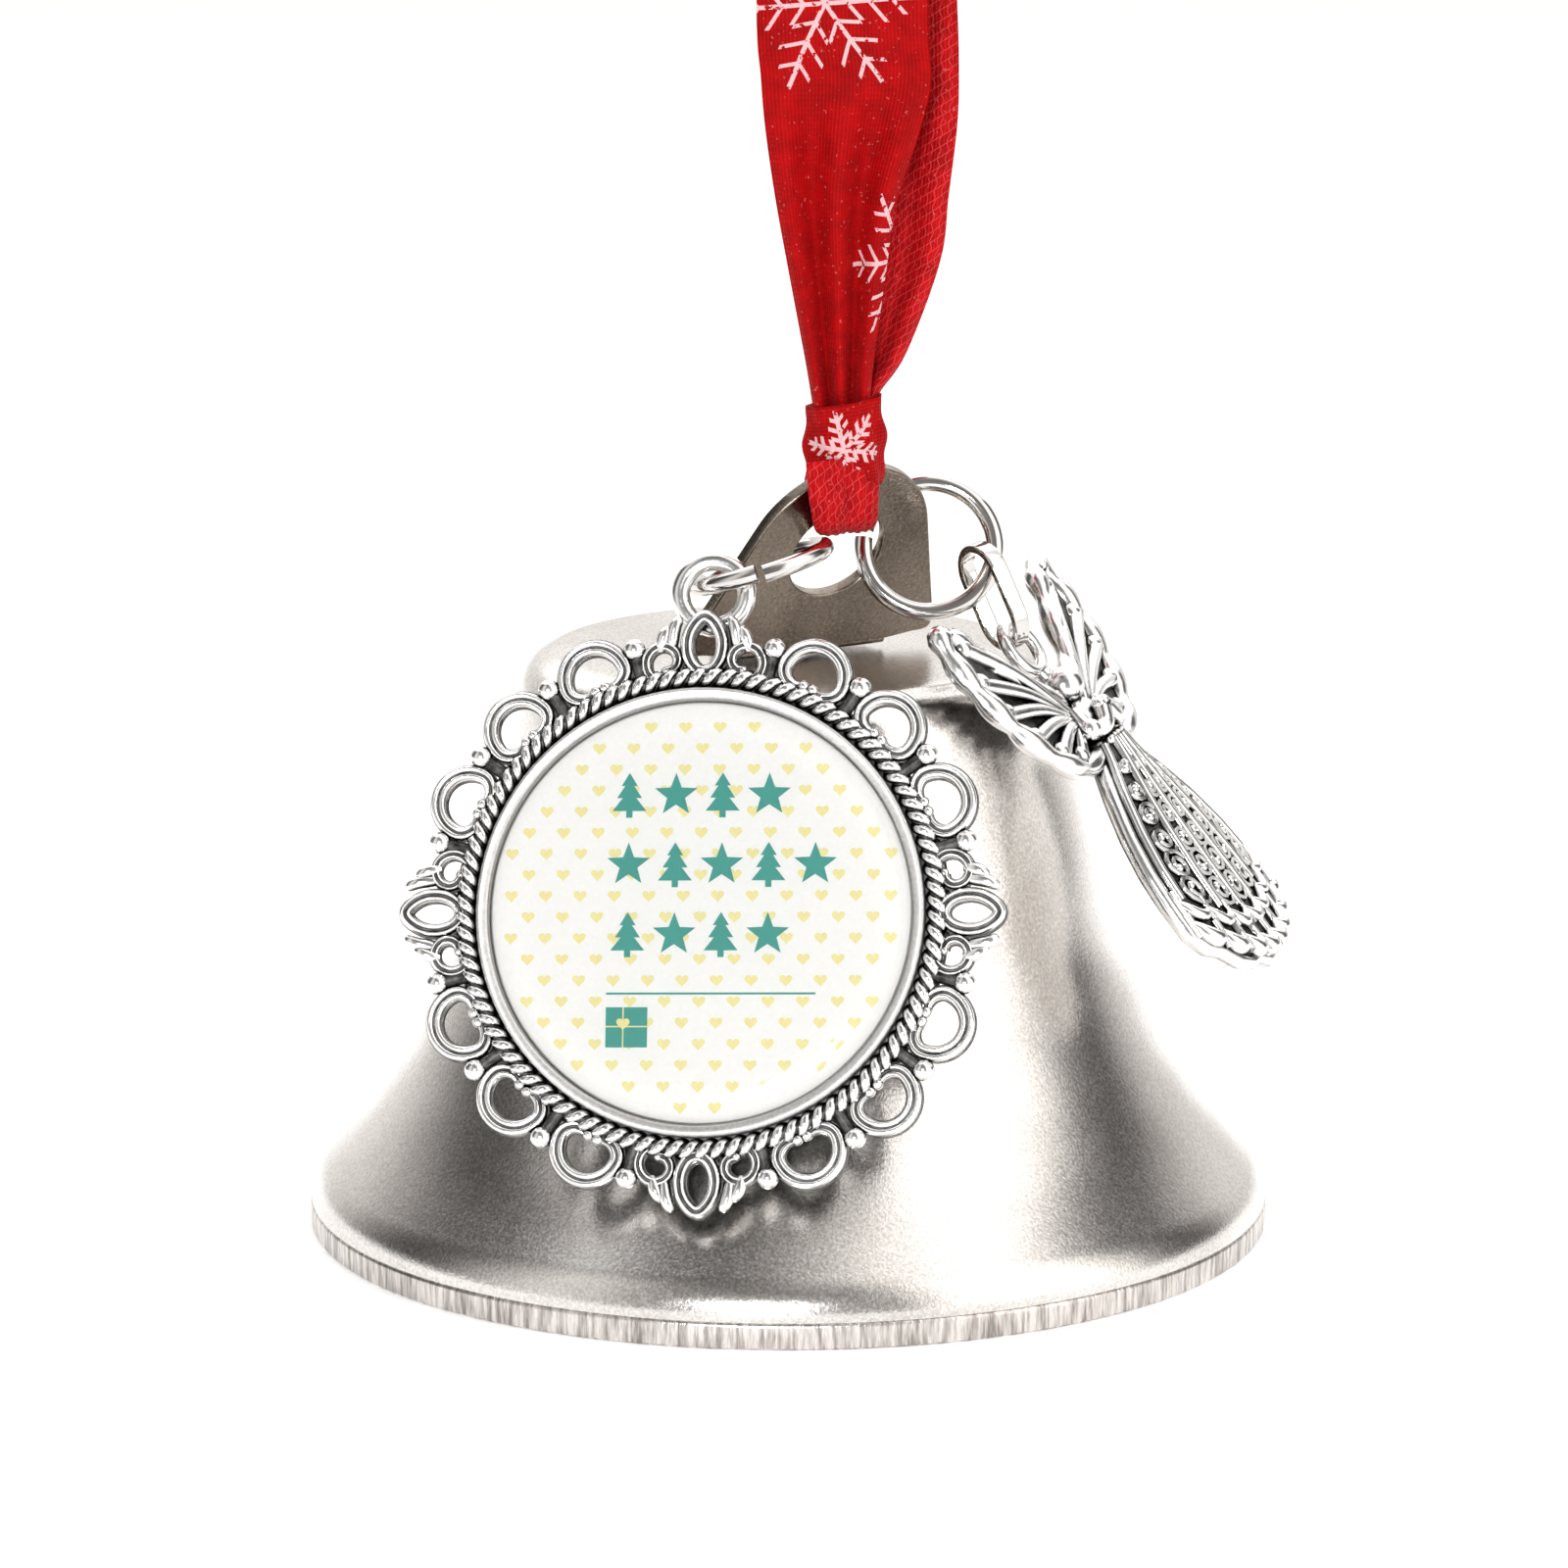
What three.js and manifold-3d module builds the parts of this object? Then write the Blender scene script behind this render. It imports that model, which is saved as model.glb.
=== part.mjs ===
// Christmas bell ornament: a nickel-plated bell that hangs from a satin ribbon, with an
// angel charm and a round picture charm hooked to its hanger. Millimetres, +Z up.
// The parts are placed in "bell space": the bell's axis is Z and its lip stands on z = 0.
// At the end everything moves down so that the top of the ribbon's loop is the origin.

import * as THREE from 'three';
import { mergeVertices } from 'three/addons/utils/BufferGeometryUtils.js';
import Module from 'manifold-3d';

const wasm = await Module();
wasm.setup();

// ---------- driving dimensions ----------

const gap = 0.3; // clearance between parts that touch on the real ornament
const bellHeight = 35.8;
const bellSheet = 0.6;
const crownRadius = 14.2; // flat part of the crown

const sheet = 0.8; // hanger plate
const hangerYaw = 32; // degrees, the plate faces front right
const hangerLean = 28; // degrees, the plate leans forward
const hangerForward = 3.37; // bend line, in front of the rivet
const hangerSide = -1.0; // plate's middle, along the bend line
const eyeHeight = 7.26; // centre of the eye above the bend line, along the plate
const eyeOuter = 6.2;
const eyeInner = 3.2;
const hangerBase = 8.7; // half the plate's width at its foot
const foldHalf = 5.6; // half the width of the fold
const footRound = 3.6; // radius of the foot's round end, centred on the rivet

const ringRadius = 3.95; // jump rings, to the middle of the wire
const ringWire = 0.56; // radius of the wire

const charmRadius = 17.6; // picture charm, to the tips of its four ovals
const charmPlate = 2.0;
const trayRadius = 13.1;
const insertRadius = 12.4;
const bailRadius = 1.95;
const bailWire = 0.55;

const ribbonWidth = 10;
const ribbonSheet = 0.4;
const hitchWidth = 2.6;
const loopTop = 136; // height of the ribbon's hang point above the bell's lip
const hookRadius = 4; // inside radius of the ribbon's loop, where a hook goes

// ---------- helpers ----------

const rad = THREE.MathUtils.degToRad;
const vec = (x, y, z) => new THREE.Vector3(x, y, z);

const ornament = new THREE.Group();
ornament.name = 'christmas_bell_ornament';

const nickel = { color: 0xb9b4ae, metalness: 1.0, roughness: 0.32 };
const bright = { color: 0xd6d3cf, metalness: 1.0, roughness: 0.12 };
const antique = { color: 0xa9a8a6, metalness: 1.0, roughness: 0.28 };
const satin = { color: 0xb5060c, metalness: 0.0, roughness: 0.55 };

function add(name, geometry, look, matrix) {
  const mesh = new THREE.Mesh(geometry, new THREE.MeshStandardMaterial(look));
  mesh.name = name;
  if (matrix) mesh.applyMatrix4(matrix);
  ornament.add(mesh);
  return mesh;
}

// A frame whose X, Y and Z axes are the three given directions, with its origin at a point.
function frameAt(origin, xAxis, yAxis, zAxis) {
  return new THREE.Matrix4().makeBasis(xAxis, yAxis, zAxis).setPosition(origin);
}

// A frame whose Z axis is the given direction.
function facing(origin, direction) {
  const turn = new THREE.Quaternion().setFromUnitVectors(vec(0, 0, 1), direction.clone().normalize());
  return new THREE.Matrix4().makeRotationFromQuaternion(turn).setPosition(origin);
}

// The points of a closed outline, once each, going round the way that is asked for.
function tidyOutline(points, clockwise) {
  const once = points.filter((point, i) => point.distanceTo(points[(i + 1) % points.length]) > 1e-3);
  return THREE.ShapeUtils.isClockWise(once) === clockwise ? once : once.reverse();
}

// A flat plate from an outline, with its middle plane on z = 0.
function plate(shape, thickness, curveSegments = 12) {
  const outline = shape.extractPoints(curveSegments);
  const clean = new THREE.Shape(tidyOutline(outline.shape, false));
  clean.holes = outline.holes.map((hole) => new THREE.Path(tidyOutline(hole, true)));
  const geometry = new THREE.ExtrudeGeometry(clean, { depth: thickness, bevelEnabled: false });
  return geometry.translate(0, 0, -thickness / 2);
}

function disc(radius, thickness, segments = 48) {
  return new THREE.CylinderGeometry(radius, radius, thickness, segments).rotateX(Math.PI / 2);
}

function circleHole(x, y, radius) {
  const hole = new THREE.Path();
  hole.absarc(x, y, radius, 0, 2 * Math.PI, true);
  return hole;
}

// An oval loop of strip: a stadium-shaped band with the given width along z.
function ovalBand(outerLength, outerWidth, thickness, width) {
  const shape = new THREE.Shape();
  const end = outerWidth / 2;
  const straight = outerLength / 2 - end;
  shape.absarc(straight, 0, end, -Math.PI / 2, Math.PI / 2, false);
  shape.absarc(-straight, 0, end, Math.PI / 2, 1.5 * Math.PI, false);
  const hole = new THREE.Path();
  hole.absarc(straight, 0, end - thickness, Math.PI / 2, -Math.PI / 2, true);
  hole.absarc(-straight, 0, end - thickness, 1.5 * Math.PI, Math.PI / 2, true);
  shape.holes.push(hole);
  return plate(shape, width, 8);
}

function solidOf(geometry) {
  const bare = geometry.clone();
  bare.deleteAttribute('normal');
  bare.deleteAttribute('uv');
  const merged = mergeVertices(bare, 1e-4);
  const corners = merged.index.array;
  const triangles = [];
  for (let i = 0; i < corners.length; i += 3) {
    const [a, b, c] = corners.slice(i, i + 3);
    if (a !== b && b !== c && c !== a) triangles.push(a, b, c);
  }
  return new wasm.Manifold(new wasm.Mesh({
    numProp: 3,
    vertProperties: new Float32Array(merged.attributes.position.array),
    triVerts: new Uint32Array(triangles),
  }));
}

function geometryOf(solid) {
  const mesh = solid.getMesh();
  const geometry = new THREE.BufferGeometry();
  geometry.setAttribute('position', new THREE.BufferAttribute(mesh.vertProperties, 3));
  geometry.setIndex(new THREE.BufferAttribute(mesh.triVerts, 1));
  geometry.computeVertexNormals();
  return geometry;
}

function union(geometries) {
  const [first, ...rest] = geometries.map(solidOf);
  return geometryOf(rest.reduce((sum, next) => sum.add(next), first));
}

function subtract(geometry, cutters) {
  return geometryOf(cutters.map(solidOf).reduce((left, cutter) => left.subtract(cutter), solidOf(geometry)));
}

function moved(geometry, x, y, z) {
  return geometry.clone().translate(x, y, z);
}

// ---------- bell ----------

// Outside of the bell, from the middle of the crown to the lip.
function bellProfile() {
  const profile = new THREE.Path();
  profile.moveTo(2.1, bellHeight);
  profile.lineTo(crownRadius, bellHeight - 0.2);
  profile.quadraticCurveTo(16.2, bellHeight - 0.4, 16.7, 32);
  profile.bezierCurveTo(17.3, 26.5, 19.4, 20.5, 20.7, 17);
  profile.bezierCurveTo(22.2, 13, 24.3, 8.6, 28.2, 4.6);
  profile.quadraticCurveTo(29.5, 3.2, 29.5, 2.4);
  profile.lineTo(29.5, 0);
  return profile.getPoints(6);
}

// The same curve moved inward by the sheet's thickness.
function insetProfile(points, distance) {
  return points.map((point, i) => {
    const before = points[Math.max(i - 1, 0)];
    const after = points[Math.min(i + 1, points.length - 1)];
    const along = after.clone().sub(before).normalize();
    return new THREE.Vector2(point.x + along.y * distance, point.y - along.x * distance);
  });
}

function buildBell() {
  const outside = bellProfile();
  const inside = insetProfile(outside, bellSheet);
  inside[inside.length - 1].y = 0;
  inside[0].x = outside[0].x;
  const section = [...outside.reverse(), ...inside];
  section.push(section[0].clone());
  const shell = new THREE.LatheGeometry(section, 64).rotateX(Math.PI / 2);
  add('bell_shell', shell, nickel);
}

// ---------- hanger: a sheet-metal eye on a foot, riveted to the crown ----------

const plateForward = vec(Math.sin(rad(hangerYaw)), -Math.cos(rad(hangerYaw)), 0);
const plateAcross = vec(Math.cos(rad(hangerYaw)), Math.sin(rad(hangerYaw)), 0);
const plateUp = vec(0, 0, Math.cos(rad(hangerLean))).addScaledVector(plateForward, Math.sin(rad(hangerLean)));
const plateNormal = plateAcross.clone().cross(plateUp);
const footTop = bellHeight + gap + sheet;
const bendLine = plateForward.clone().multiplyScalar(hangerForward).setZ(footTop - sheet / 2);
const eyeCentre = bendLine.clone()
  .addScaledVector(plateAcross, hangerSide)
  .addScaledVector(plateUp, eyeHeight);
const plateFrame = frameAt(eyeCentre, plateAcross, plateUp, plateNormal);

function eyePlate() {
  const tangent = rad(21); // direction of the point where the flank leaves the eye's circle
  const foot = -eyeHeight;
  const shape = new THREE.Shape();
  shape.absarc(0, 0, eyeOuter, tangent, Math.PI - tangent, false);
  shape.lineTo(-hangerBase, foot + 1.1);
  shape.quadraticCurveTo(-hangerBase, foot + 0.5, -hangerBase + 1, foot + 0.4);
  shape.lineTo(-foldHalf, foot);
  shape.lineTo(foldHalf, foot);
  shape.lineTo(hangerBase - 1, foot + 0.4);
  shape.quadraticCurveTo(hangerBase, foot + 0.5, hangerBase, foot + 1.1);
  shape.holes.push(circleHole(0, 0, eyeInner));
  return plate(shape, sheet, 14).applyMatrix4(plateFrame);
}

function hangerFoot() {
  const shape = new THREE.Shape();
  const half = foldHalf - 0.2;
  shape.moveTo(-half, 0.25);
  shape.lineTo(-half, 1.5);
  shape.lineTo(-footRound, hangerForward + 1.6);
  shape.absarc(0, hangerForward, footRound, Math.PI * 0.85, Math.PI * 0.15, true);
  shape.lineTo(half, 1.5);
  shape.lineTo(half, 0.25);
  shape.holes.push(circleHole(-hangerSide, hangerForward, 1.6));
  const backward = plateForward.clone().negate();
  const start = bendLine.clone().addScaledVector(plateAcross, hangerSide);
  return plate(shape, sheet, 8).applyMatrix4(frameAt(start, plateAcross, backward, vec(0, 0, 1)));
}

function buildHanger() {
  const body = union([eyePlate(), hangerFoot()]);
  // Nothing of the plate may reach below the foot.
  const below = new THREE.BoxGeometry(40, 40, 2).translate(0, 0, footTop - sheet - 1);
  add('hanger_plate', subtract(body, [below]), nickel);
}

// ---------- crown rivet, clapper bracket, link and clapper ----------

const bracketSheet = 0.8;
const bracketTop = bellHeight - bellSheet - gap;
const bracketHole = 1.1;
const tabBack = 3.4; // the tab's distance behind the rivet
const tabDrop = 3.4; // its hole's depth below the washer
const bracketEye = vec(0, tabBack, bracketTop - bracketSheet - tabDrop);
const linkBend = 1.5; // radius of the link's two ends, to the middle of the wire
const linkWire = 0.5;
const linkLength = 11;
const linkTop = bracketEye.z - bracketHole + linkWire + gap;
const linkFoot = linkTop - linkLength;
const clapperRadius = 4.6;
const clapperEyeRadius = 1.55;
const clapperEyeTop = linkFoot + 2 * linkWire + gap;
const clapperCentre = clapperEyeTop - clapperEyeRadius - 6;

function buildRivet() {
  const top = footTop + gap;
  const tail = bracketTop - bracketSheet - gap;
  const profile = [
    [0, tail - 0.9], [1.9, tail - 0.9], [2.3, tail - 0.4], [2.3, tail], [1.3, tail],
    [1.3, top], [2.6, top], [2.5, top + 0.5], [1.6, top + 1.1], [0, top + 1.3],
  ].map(([r, z]) => new THREE.Vector2(r, z));
  add('crown_rivet', new THREE.LatheGeometry(profile, 28).rotateX(Math.PI / 2), bright);
}

// A washer under the crown with a tab bent down, which carries the clapper's link.
function buildBracket() {
  const washer = new THREE.Shape();
  washer.absarc(0, 0, 4.2, 0, 2 * Math.PI, false);
  washer.holes.push(circleHole(0, 0, 1.6));
  const flange = moved(plate(washer, bracketSheet, 14), 0, 0, bracketTop - bracketSheet / 2);
  const tabTop = bracketTop - bracketSheet / 2 - bracketEye.z;
  const tab = new THREE.Shape();
  tab.moveTo(-2, tabTop);
  tab.lineTo(-2, 0);
  tab.absarc(0, 0, 2, Math.PI, 2 * Math.PI, false);
  tab.lineTo(2, tabTop);
  tab.holes.push(circleHole(0, 0, bracketHole));
  const upright = plate(tab, bracketSheet, 10).rotateX(Math.PI / 2);
  add('clapper_bracket', union([flange, moved(upright, 0, bracketEye.y, bracketEye.z)]), nickel);
}

// A long closed loop of wire in the YZ plane, which hangs in the bracket's hole.
function buildClapperLink() {
  const straight = linkLength / 2 - linkBend;
  const loop = [];
  for (let i = 0; i < 24; i += 1) {
    const angle = ((i + 0.5) / 24) * 2 * Math.PI;
    const side = Math.sign(Math.sin(angle));
    loop.push(vec(0, linkBend * Math.cos(angle), side * straight + linkBend * Math.sin(angle)));
  }
  const route = new THREE.CatmullRomCurve3(loop, true, 'centripetal');
  const wire = new THREE.Shape();
  wire.absarc(0, 0, linkWire, 0, 2 * Math.PI, false);
  const geometry = new THREE.ExtrudeGeometry(wire, {
    steps: 56, extrudePath: route, curveSegments: 5, bevelEnabled: false,
  });
  add('clapper_link', geometry.translate(0, bracketEye.y, (linkTop + linkFoot) / 2), bright);
}

function buildClapper() {
  const ball = new THREE.SphereGeometry(clapperRadius, 28, 18);
  const eye = new THREE.TorusGeometry(clapperEyeRadius, linkWire, 10, 20).rotateX(Math.PI / 2);
  add('clapper_ball', union([
    moved(ball, 0, bracketEye.y, clapperCentre),
    moved(eye, 0, bracketEye.y, clapperEyeTop - clapperEyeRadius),
  ]), bright);
}

// ---------- jump rings ----------

function buildRing(name, centre, normal) {
  const ring = new THREE.TorusGeometry(ringRadius, ringWire, 10, 40);
  add(name, ring, bright, facing(centre, normal));
}

// ---------- picture charm ----------

const charmCentre = vec(-5.1, -20.9, 24.0);
const charmLean = 20; // degrees, leans back against the bell
const charmYaw = -8; // degrees, faces slightly left
const charmRoll = 2; // degrees, turned in its own plane
const charmFrame = new THREE.Matrix4().makeRotationZ(rad(charmYaw))
  .multiply(new THREE.Matrix4().makeRotationX(rad(90 - charmLean)))
  .multiply(new THREE.Matrix4().makeRotationZ(rad(charmRoll)))
  .setPosition(charmCentre);
const bailCentre = vec(-4.4, -13.0, 41.4).applyMatrix4(charmFrame.clone().invert());

const laceRadius = 15.9; // the lacework's edge between its scallops
const scallopRise = 0.7;
const tipHalfAngle = 0.11; // radians

// The lacework's outer edge: shallow scallops all round, with a point at each of its four tips.
function laceOutline() {
  const shape = new THREE.Shape();
  const steps = 96;
  for (let i = 0; i < steps; i += 1) {
    const angle = (i / steps) * 2 * Math.PI;
    const radius = laceReach(angle);
    const point = [radius * Math.cos(angle), radius * Math.sin(angle)];
    if (i === 0) shape.moveTo(...point);
    else shape.lineTo(...point);
  }
  return shape;
}

// How far the lacework reaches at an angle round the charm.
function laceReach(angle) {
  const quarter = Math.PI / 2;
  const fromTip = Math.abs(((angle + quarter / 2) % quarter + quarter) % quarter - quarter / 2);
  const tip = Math.max(0, 1 - fromTip / tipHalfAngle);
  const scallop = Math.abs(Math.sin(6 * angle));
  return laceRadius + scallopRise * scallop + (charmRadius - laceRadius) * tip;
}

function buildCharm() {
  const lace = laceOutline();
  lace.holes.push(circleHole(0, 0, trayRadius - 0.3));
  const quarter = Math.PI / 2;
  for (let side = 0; side < 4; side += 1) {
    lace.holes.push(ovalHole(15.3, side * quarter, 1.45, 0.75));
    for (const step of [1, 2, 3]) {
      lace.holes.push(ovalHole(14.75, (side + step / 4) * quarter, 0.75, 1.15));
    }
  }
  const tray = new THREE.Shape();
  tray.absarc(0, 0, trayRadius, 0, 2 * Math.PI, false);
  tray.holes.push(circleHole(0, 0, insertRadius + 0.2));
  const floor = moved(disc(trayRadius - 0.2, 0.6), 0, 0, -charmPlate / 2 + 0.3);
  const bail = new THREE.TorusGeometry(bailRadius, bailWire, 10, 28);
  const boss = new THREE.BoxGeometry(1.6, 1.2, 1.6);
  add('charm_frame', union([
    plate(lace, charmPlate * 0.7, 8),
    plate(tray, charmPlate, 24),
    floor,
    moved(bail, ...bailCentre),
    moved(boss, bailCentre.x, bailCentre.y - bailRadius - 0.2, bailCentre.z + 0.5),
  ]), antique, charmFrame);
  const printed = moved(disc(insertRadius, 0.5), 0, 0, -charmPlate / 2 + 0.6 + 0.05 + 0.25);
  add('printed_disc', printed, { color: 0xf4f3ee, metalness: 0, roughness: 0.45 }, charmFrame);
  const cover = moved(disc(insertRadius, 0.6), 0, 0, -charmPlate / 2 + 1.2 + 0.05 + 0.3);
  add('clear_cover', cover, { color: 0xffffff, metalness: 0, roughness: 0.05 }, charmFrame);
}

function ovalHole(distance, angle, along, across) {
  const hole = new THREE.Path();
  const x = distance * Math.cos(angle);
  const y = distance * Math.sin(angle);
  hole.absellipse(x, y, along, across, 0, 2 * Math.PI, true, angle);
  return hole;
}

// ---------- angel charm on its link ----------

const angelDown = vec(0.6, -0.169, -0.782).normalize();
const angelFront = vec(0.71, -0.328, 0.613).normalize();
const angelRight = angelDown.clone().negate().cross(angelFront).normalize();
const haloCentre = vec(14.0, -6.26, 36.82);
const angelFrame = frameAt(haloCentre, angelRight, angelDown.clone().negate(), angelFront);
const linkCentre = vec(12.3, -5.6, 39.9);
const linkLong = vec(0.39, -0.186, -0.901).normalize();
const linkAxis = vec(0.797, 0.56, 0.231);

function buildAngelLink() {
  const across = linkAxis.clone().cross(linkLong).normalize();
  const axis = linkLong.clone().cross(across).normalize();
  add('angel_link', ovalBand(6.8, 4.0, 0.48, 1.05), bright, frameAt(linkCentre, linkLong, across, axis));
}

// The wing on the +X side; the other is its mirror image.
function wingShape(side) {
  const shape = new THREE.Shape();
  shape.moveTo(side * 0.6, -4.6);
  shape.quadraticCurveTo(side * 3.6, -2.4, side * 6.0, 0.8);
  shape.quadraticCurveTo(side * 7.6, 3.4, side * 9.0, 3.4);
  shape.quadraticCurveTo(side * 9.8, -1.5, side * 7.8, -4.6);
  shape.quadraticCurveTo(side * 5.8, -7.6, side * 2.2, -8.3);
  shape.lineTo(side * 0.6, -7.4);
  return shape;
}

function dressShape() {
  const shape = new THREE.Shape();
  shape.moveTo(-1.4, -4.6);
  shape.lineTo(-1.3, -7.6);
  shape.quadraticCurveTo(-3.2, -12.5, -4.6, -16.2);
  shape.quadraticCurveTo(-5.8, -18.6, -6.2, -20.6);
  shape.quadraticCurveTo(0, -24.2, 6.2, -20.6);
  shape.quadraticCurveTo(5.8, -18.6, 4.6, -16.2);
  shape.quadraticCurveTo(3.2, -12.5, 1.3, -7.6);
  shape.lineTo(1.4, -4.6);
  return shape;
}

function buildAngel() {
  const halo = new THREE.TorusGeometry(1.65, 0.4, 8, 24);
  const neck = new THREE.CylinderGeometry(0.5, 0.6, 2.6, 12);
  const head = new THREE.SphereGeometry(1.2, 16, 12);
  const bust = new THREE.SphereGeometry(1, 14, 10).scale(1.7, 1.9, 1.2);
  const hands = new THREE.SphereGeometry(0.8, 12, 8);
  add('angel_figure', union([
    halo,
    moved(neck, 0, -3.0, 0.3),
    moved(head, 0, -3.3, 0.7),
    moved(bust, 0, -6.0, 0.5),
    moved(hands, 0, -5.9, 1.5),
    moved(plate(wingShape(1), 1.0, 6), 0, 0, 0.2),
    moved(plate(wingShape(-1), 1.0, 6), 0, 0, 0.2),
    moved(plate(dressShape(), 1.9, 6), 0, 0, 0.45),
  ]), antique, angelFrame);
}

// ---------- ribbon ----------

const barTop = eyeCentre.clone().addScaledVector(plateUp, (eyeOuter + eyeInner) / 2);
const knotTop = 53;
const knotBottom = 49.2;
const strapOuter = { across: 1.45, up: 2.75 }; // half sizes of the strap's oval
const strapSheet = 0.5;

// Seen along the hanger's bar: a strap round the bar, with the knot standing on it.
function buildHitch() {
  const around = new THREE.Shape();
  around.absellipse(0, 0, strapOuter.across, strapOuter.up, 0, 2 * Math.PI, false, 0);
  const strap = plate(around, hitchWidth, 16).applyMatrix4(barFrame());
  const inner = new THREE.Shape();
  const { across, up } = strapOuter;
  inner.absellipse(0, 0, across - strapSheet, up - strapSheet, 0, 2 * Math.PI, false, 0);
  const room = plate(inner, hitchWidth + 2, 16).applyMatrix4(barFrame());
  const knot = new THREE.SphereGeometry((knotTop - knotBottom) / 2, 20, 14).rotateZ(Math.PI / 2);
  knot.scale(1.25, 1, 1);
  const solid = union([strap, moved(knot, barTop.x, barTop.y - 0.2, (knotTop + knotBottom) / 2)]);
  add('ribbon_hitch', subtract(solid, [room]), satin);
}

// The bar's own frame: Z along the bar, Y up the plate.
function barFrame() {
  const centre = eyeCentre.clone().addScaledVector(plateUp, (eyeOuter + eyeInner) / 2 - 0.2);
  return frameAt(centre, plateNormal.clone().negate(), plateUp, plateAcross);
}

const drawnIn = 0.45; // the strands' width at the knot, as a share of the ribbon's
const drawHeight = 22; // height over which they reach full width

// The two strands and the turn over the hook, seen from the side.
function buildRibbonLoop() {
  const foot = knotTop + gap;
  const turn = loopTop - hookRadius - ribbonSheet;
  const profile = (offset) => {
    const path = new THREE.Shape();
    path.moveTo(-0.5 - offset, foot);
    path.bezierCurveTo(-0.8 - offset, foot + 25, -hookRadius - offset, turn - 30, -hookRadius - offset, turn);
    path.absarc(0, turn, hookRadius + offset, Math.PI, 0, true);
    path.bezierCurveTo(hookRadius + offset, turn - 30, 0.8 + offset, foot + 25, 0.5 + offset, foot);
    return path;
  };
  const shape = profile(ribbonSheet);
  const inside = profile(0).getPoints(12).map((p) => new THREE.Vector2(p.x, Math.max(p.y, foot + 0.5)));
  shape.holes.push(new THREE.Path(inside));
  const band = plate(shape, ribbonWidth, 12);
  // Seen from the front the ribbon draws in to the knot.
  const position = band.attributes.position;
  for (let i = 0; i < position.count; i += 1) {
    const height = Math.min(Math.max((position.getY(i) - foot) / drawHeight, 0), 1);
    const share = drawnIn + (1 - drawnIn) * Math.sin(height * Math.PI / 2);
    position.setZ(i, position.getZ(i) * share);
  }
  band.applyMatrix4(frameAt(vec(barTop.x, barTop.y - 0.2, 0), vec(0, 1, 0), vec(0, 0, 1), vec(1, 0, 0)));
  add('ribbon_loop', band, satin);
}

buildBell();
buildHanger();
buildRivet();
buildBracket();
buildClapperLink();
buildClapper();
buildRing('charm_ring', vec(-1.62, -10.31, 42.58), vec(-0.3, 0.065, 0.952));
buildRing('angel_ring', vec(8.43, -4.63, 42.7), vec(0.026, -0.925, 0.379));
buildCharm();
buildAngelLink();
buildAngel();
buildHitch();
buildRibbonLoop();

ornament.position.set(-barTop.x, -(barTop.y - 0.2), -loopTop);
ornament.updateMatrixWorld(true);

export default ornament;
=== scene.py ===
"""Christmas bell ornament: the visible pieces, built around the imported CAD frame.

Shapes are worked out in "bell space", in millimetres: the bell's axis is Z and its lip stands
on z = 0. ORIGIN moves them into the row frame, whose origin is the top of the ribbon's loop.
"""
import math

import bpy
import numpy as np
from mathutils import Matrix, Vector


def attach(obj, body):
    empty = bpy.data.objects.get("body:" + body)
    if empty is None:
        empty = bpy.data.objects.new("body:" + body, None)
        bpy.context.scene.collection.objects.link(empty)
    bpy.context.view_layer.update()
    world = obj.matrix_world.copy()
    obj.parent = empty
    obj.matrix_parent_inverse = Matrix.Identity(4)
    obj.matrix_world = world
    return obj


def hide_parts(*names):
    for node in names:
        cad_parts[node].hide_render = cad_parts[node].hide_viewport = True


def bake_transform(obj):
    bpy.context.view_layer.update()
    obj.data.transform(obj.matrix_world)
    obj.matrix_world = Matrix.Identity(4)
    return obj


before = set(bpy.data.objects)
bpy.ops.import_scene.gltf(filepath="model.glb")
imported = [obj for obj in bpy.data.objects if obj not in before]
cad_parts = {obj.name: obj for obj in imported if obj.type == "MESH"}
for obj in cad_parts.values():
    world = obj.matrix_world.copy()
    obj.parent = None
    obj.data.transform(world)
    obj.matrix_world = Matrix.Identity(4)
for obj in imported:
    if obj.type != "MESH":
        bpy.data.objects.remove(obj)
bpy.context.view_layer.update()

MM = 0.001
TAU = 2 * math.pi
ORIGIN = np.array((-3.913, 8.350, -136.0))
BELL_SHEET = 0.6
LIP_RADIUS = 29.44
UP = (0, 0, 1)


# ---------- small vector helpers ----------

def row_point(x, y, z):
    return Vector(((x + ORIGIN[0]) * MM, (y + ORIGIN[1]) * MM, (z + ORIGIN[2]) * MM))


def vec(*values):
    return np.array(values, float)


def unit(v):
    v = np.asarray(v, float)
    return v / np.linalg.norm(v)


class Frame:
    """A place to build in: a point and three directions, in bell space."""

    def __init__(self, origin, x, y, z):
        self.origin = np.asarray(origin, float)
        self.axes = np.array((unit(x), unit(y), unit(z)))

    def place(self, points):
        return self.origin + np.asarray(points, float) @ self.axes


BELL = Frame((0, 0, 0), (1, 0, 0), (0, 1, 0), UP)


def facing(origin, normal):
    """The frame at a point that is turned the shortest way from Z to a direction."""
    turn = Vector((0, 0, 1)).rotation_difference(Vector(unit(normal))).to_matrix()
    return Frame(origin, turn.col[0], turn.col[1], turn.col[2])


def smooth_curve(points, steps, closed=False):
    """A Catmull-Rom curve through points, with the given number of steps between each pair."""
    points = np.asarray(points, float)
    count = len(points)
    found = []
    for i in range(count if closed else count - 1):
        if closed:
            around = [points[(i + k) % count] for k in (-1, 0, 1, 2)]
        else:
            around = [points[min(max(i + k, 0), count - 1)] for k in (-1, 0, 1, 2)]
        a, b, c, d = around
        for t in np.arange(steps) / steps:
            found.append(0.5 * (2 * b + (c - a) * t + (2 * a - 5 * b + 4 * c - d) * t * t
                                + (3 * b - a - 3 * c + d) * t ** 3))
    if not closed:
        found.append(points[-1])
    return np.array(found)


# ---------- mesh helpers ----------

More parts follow.
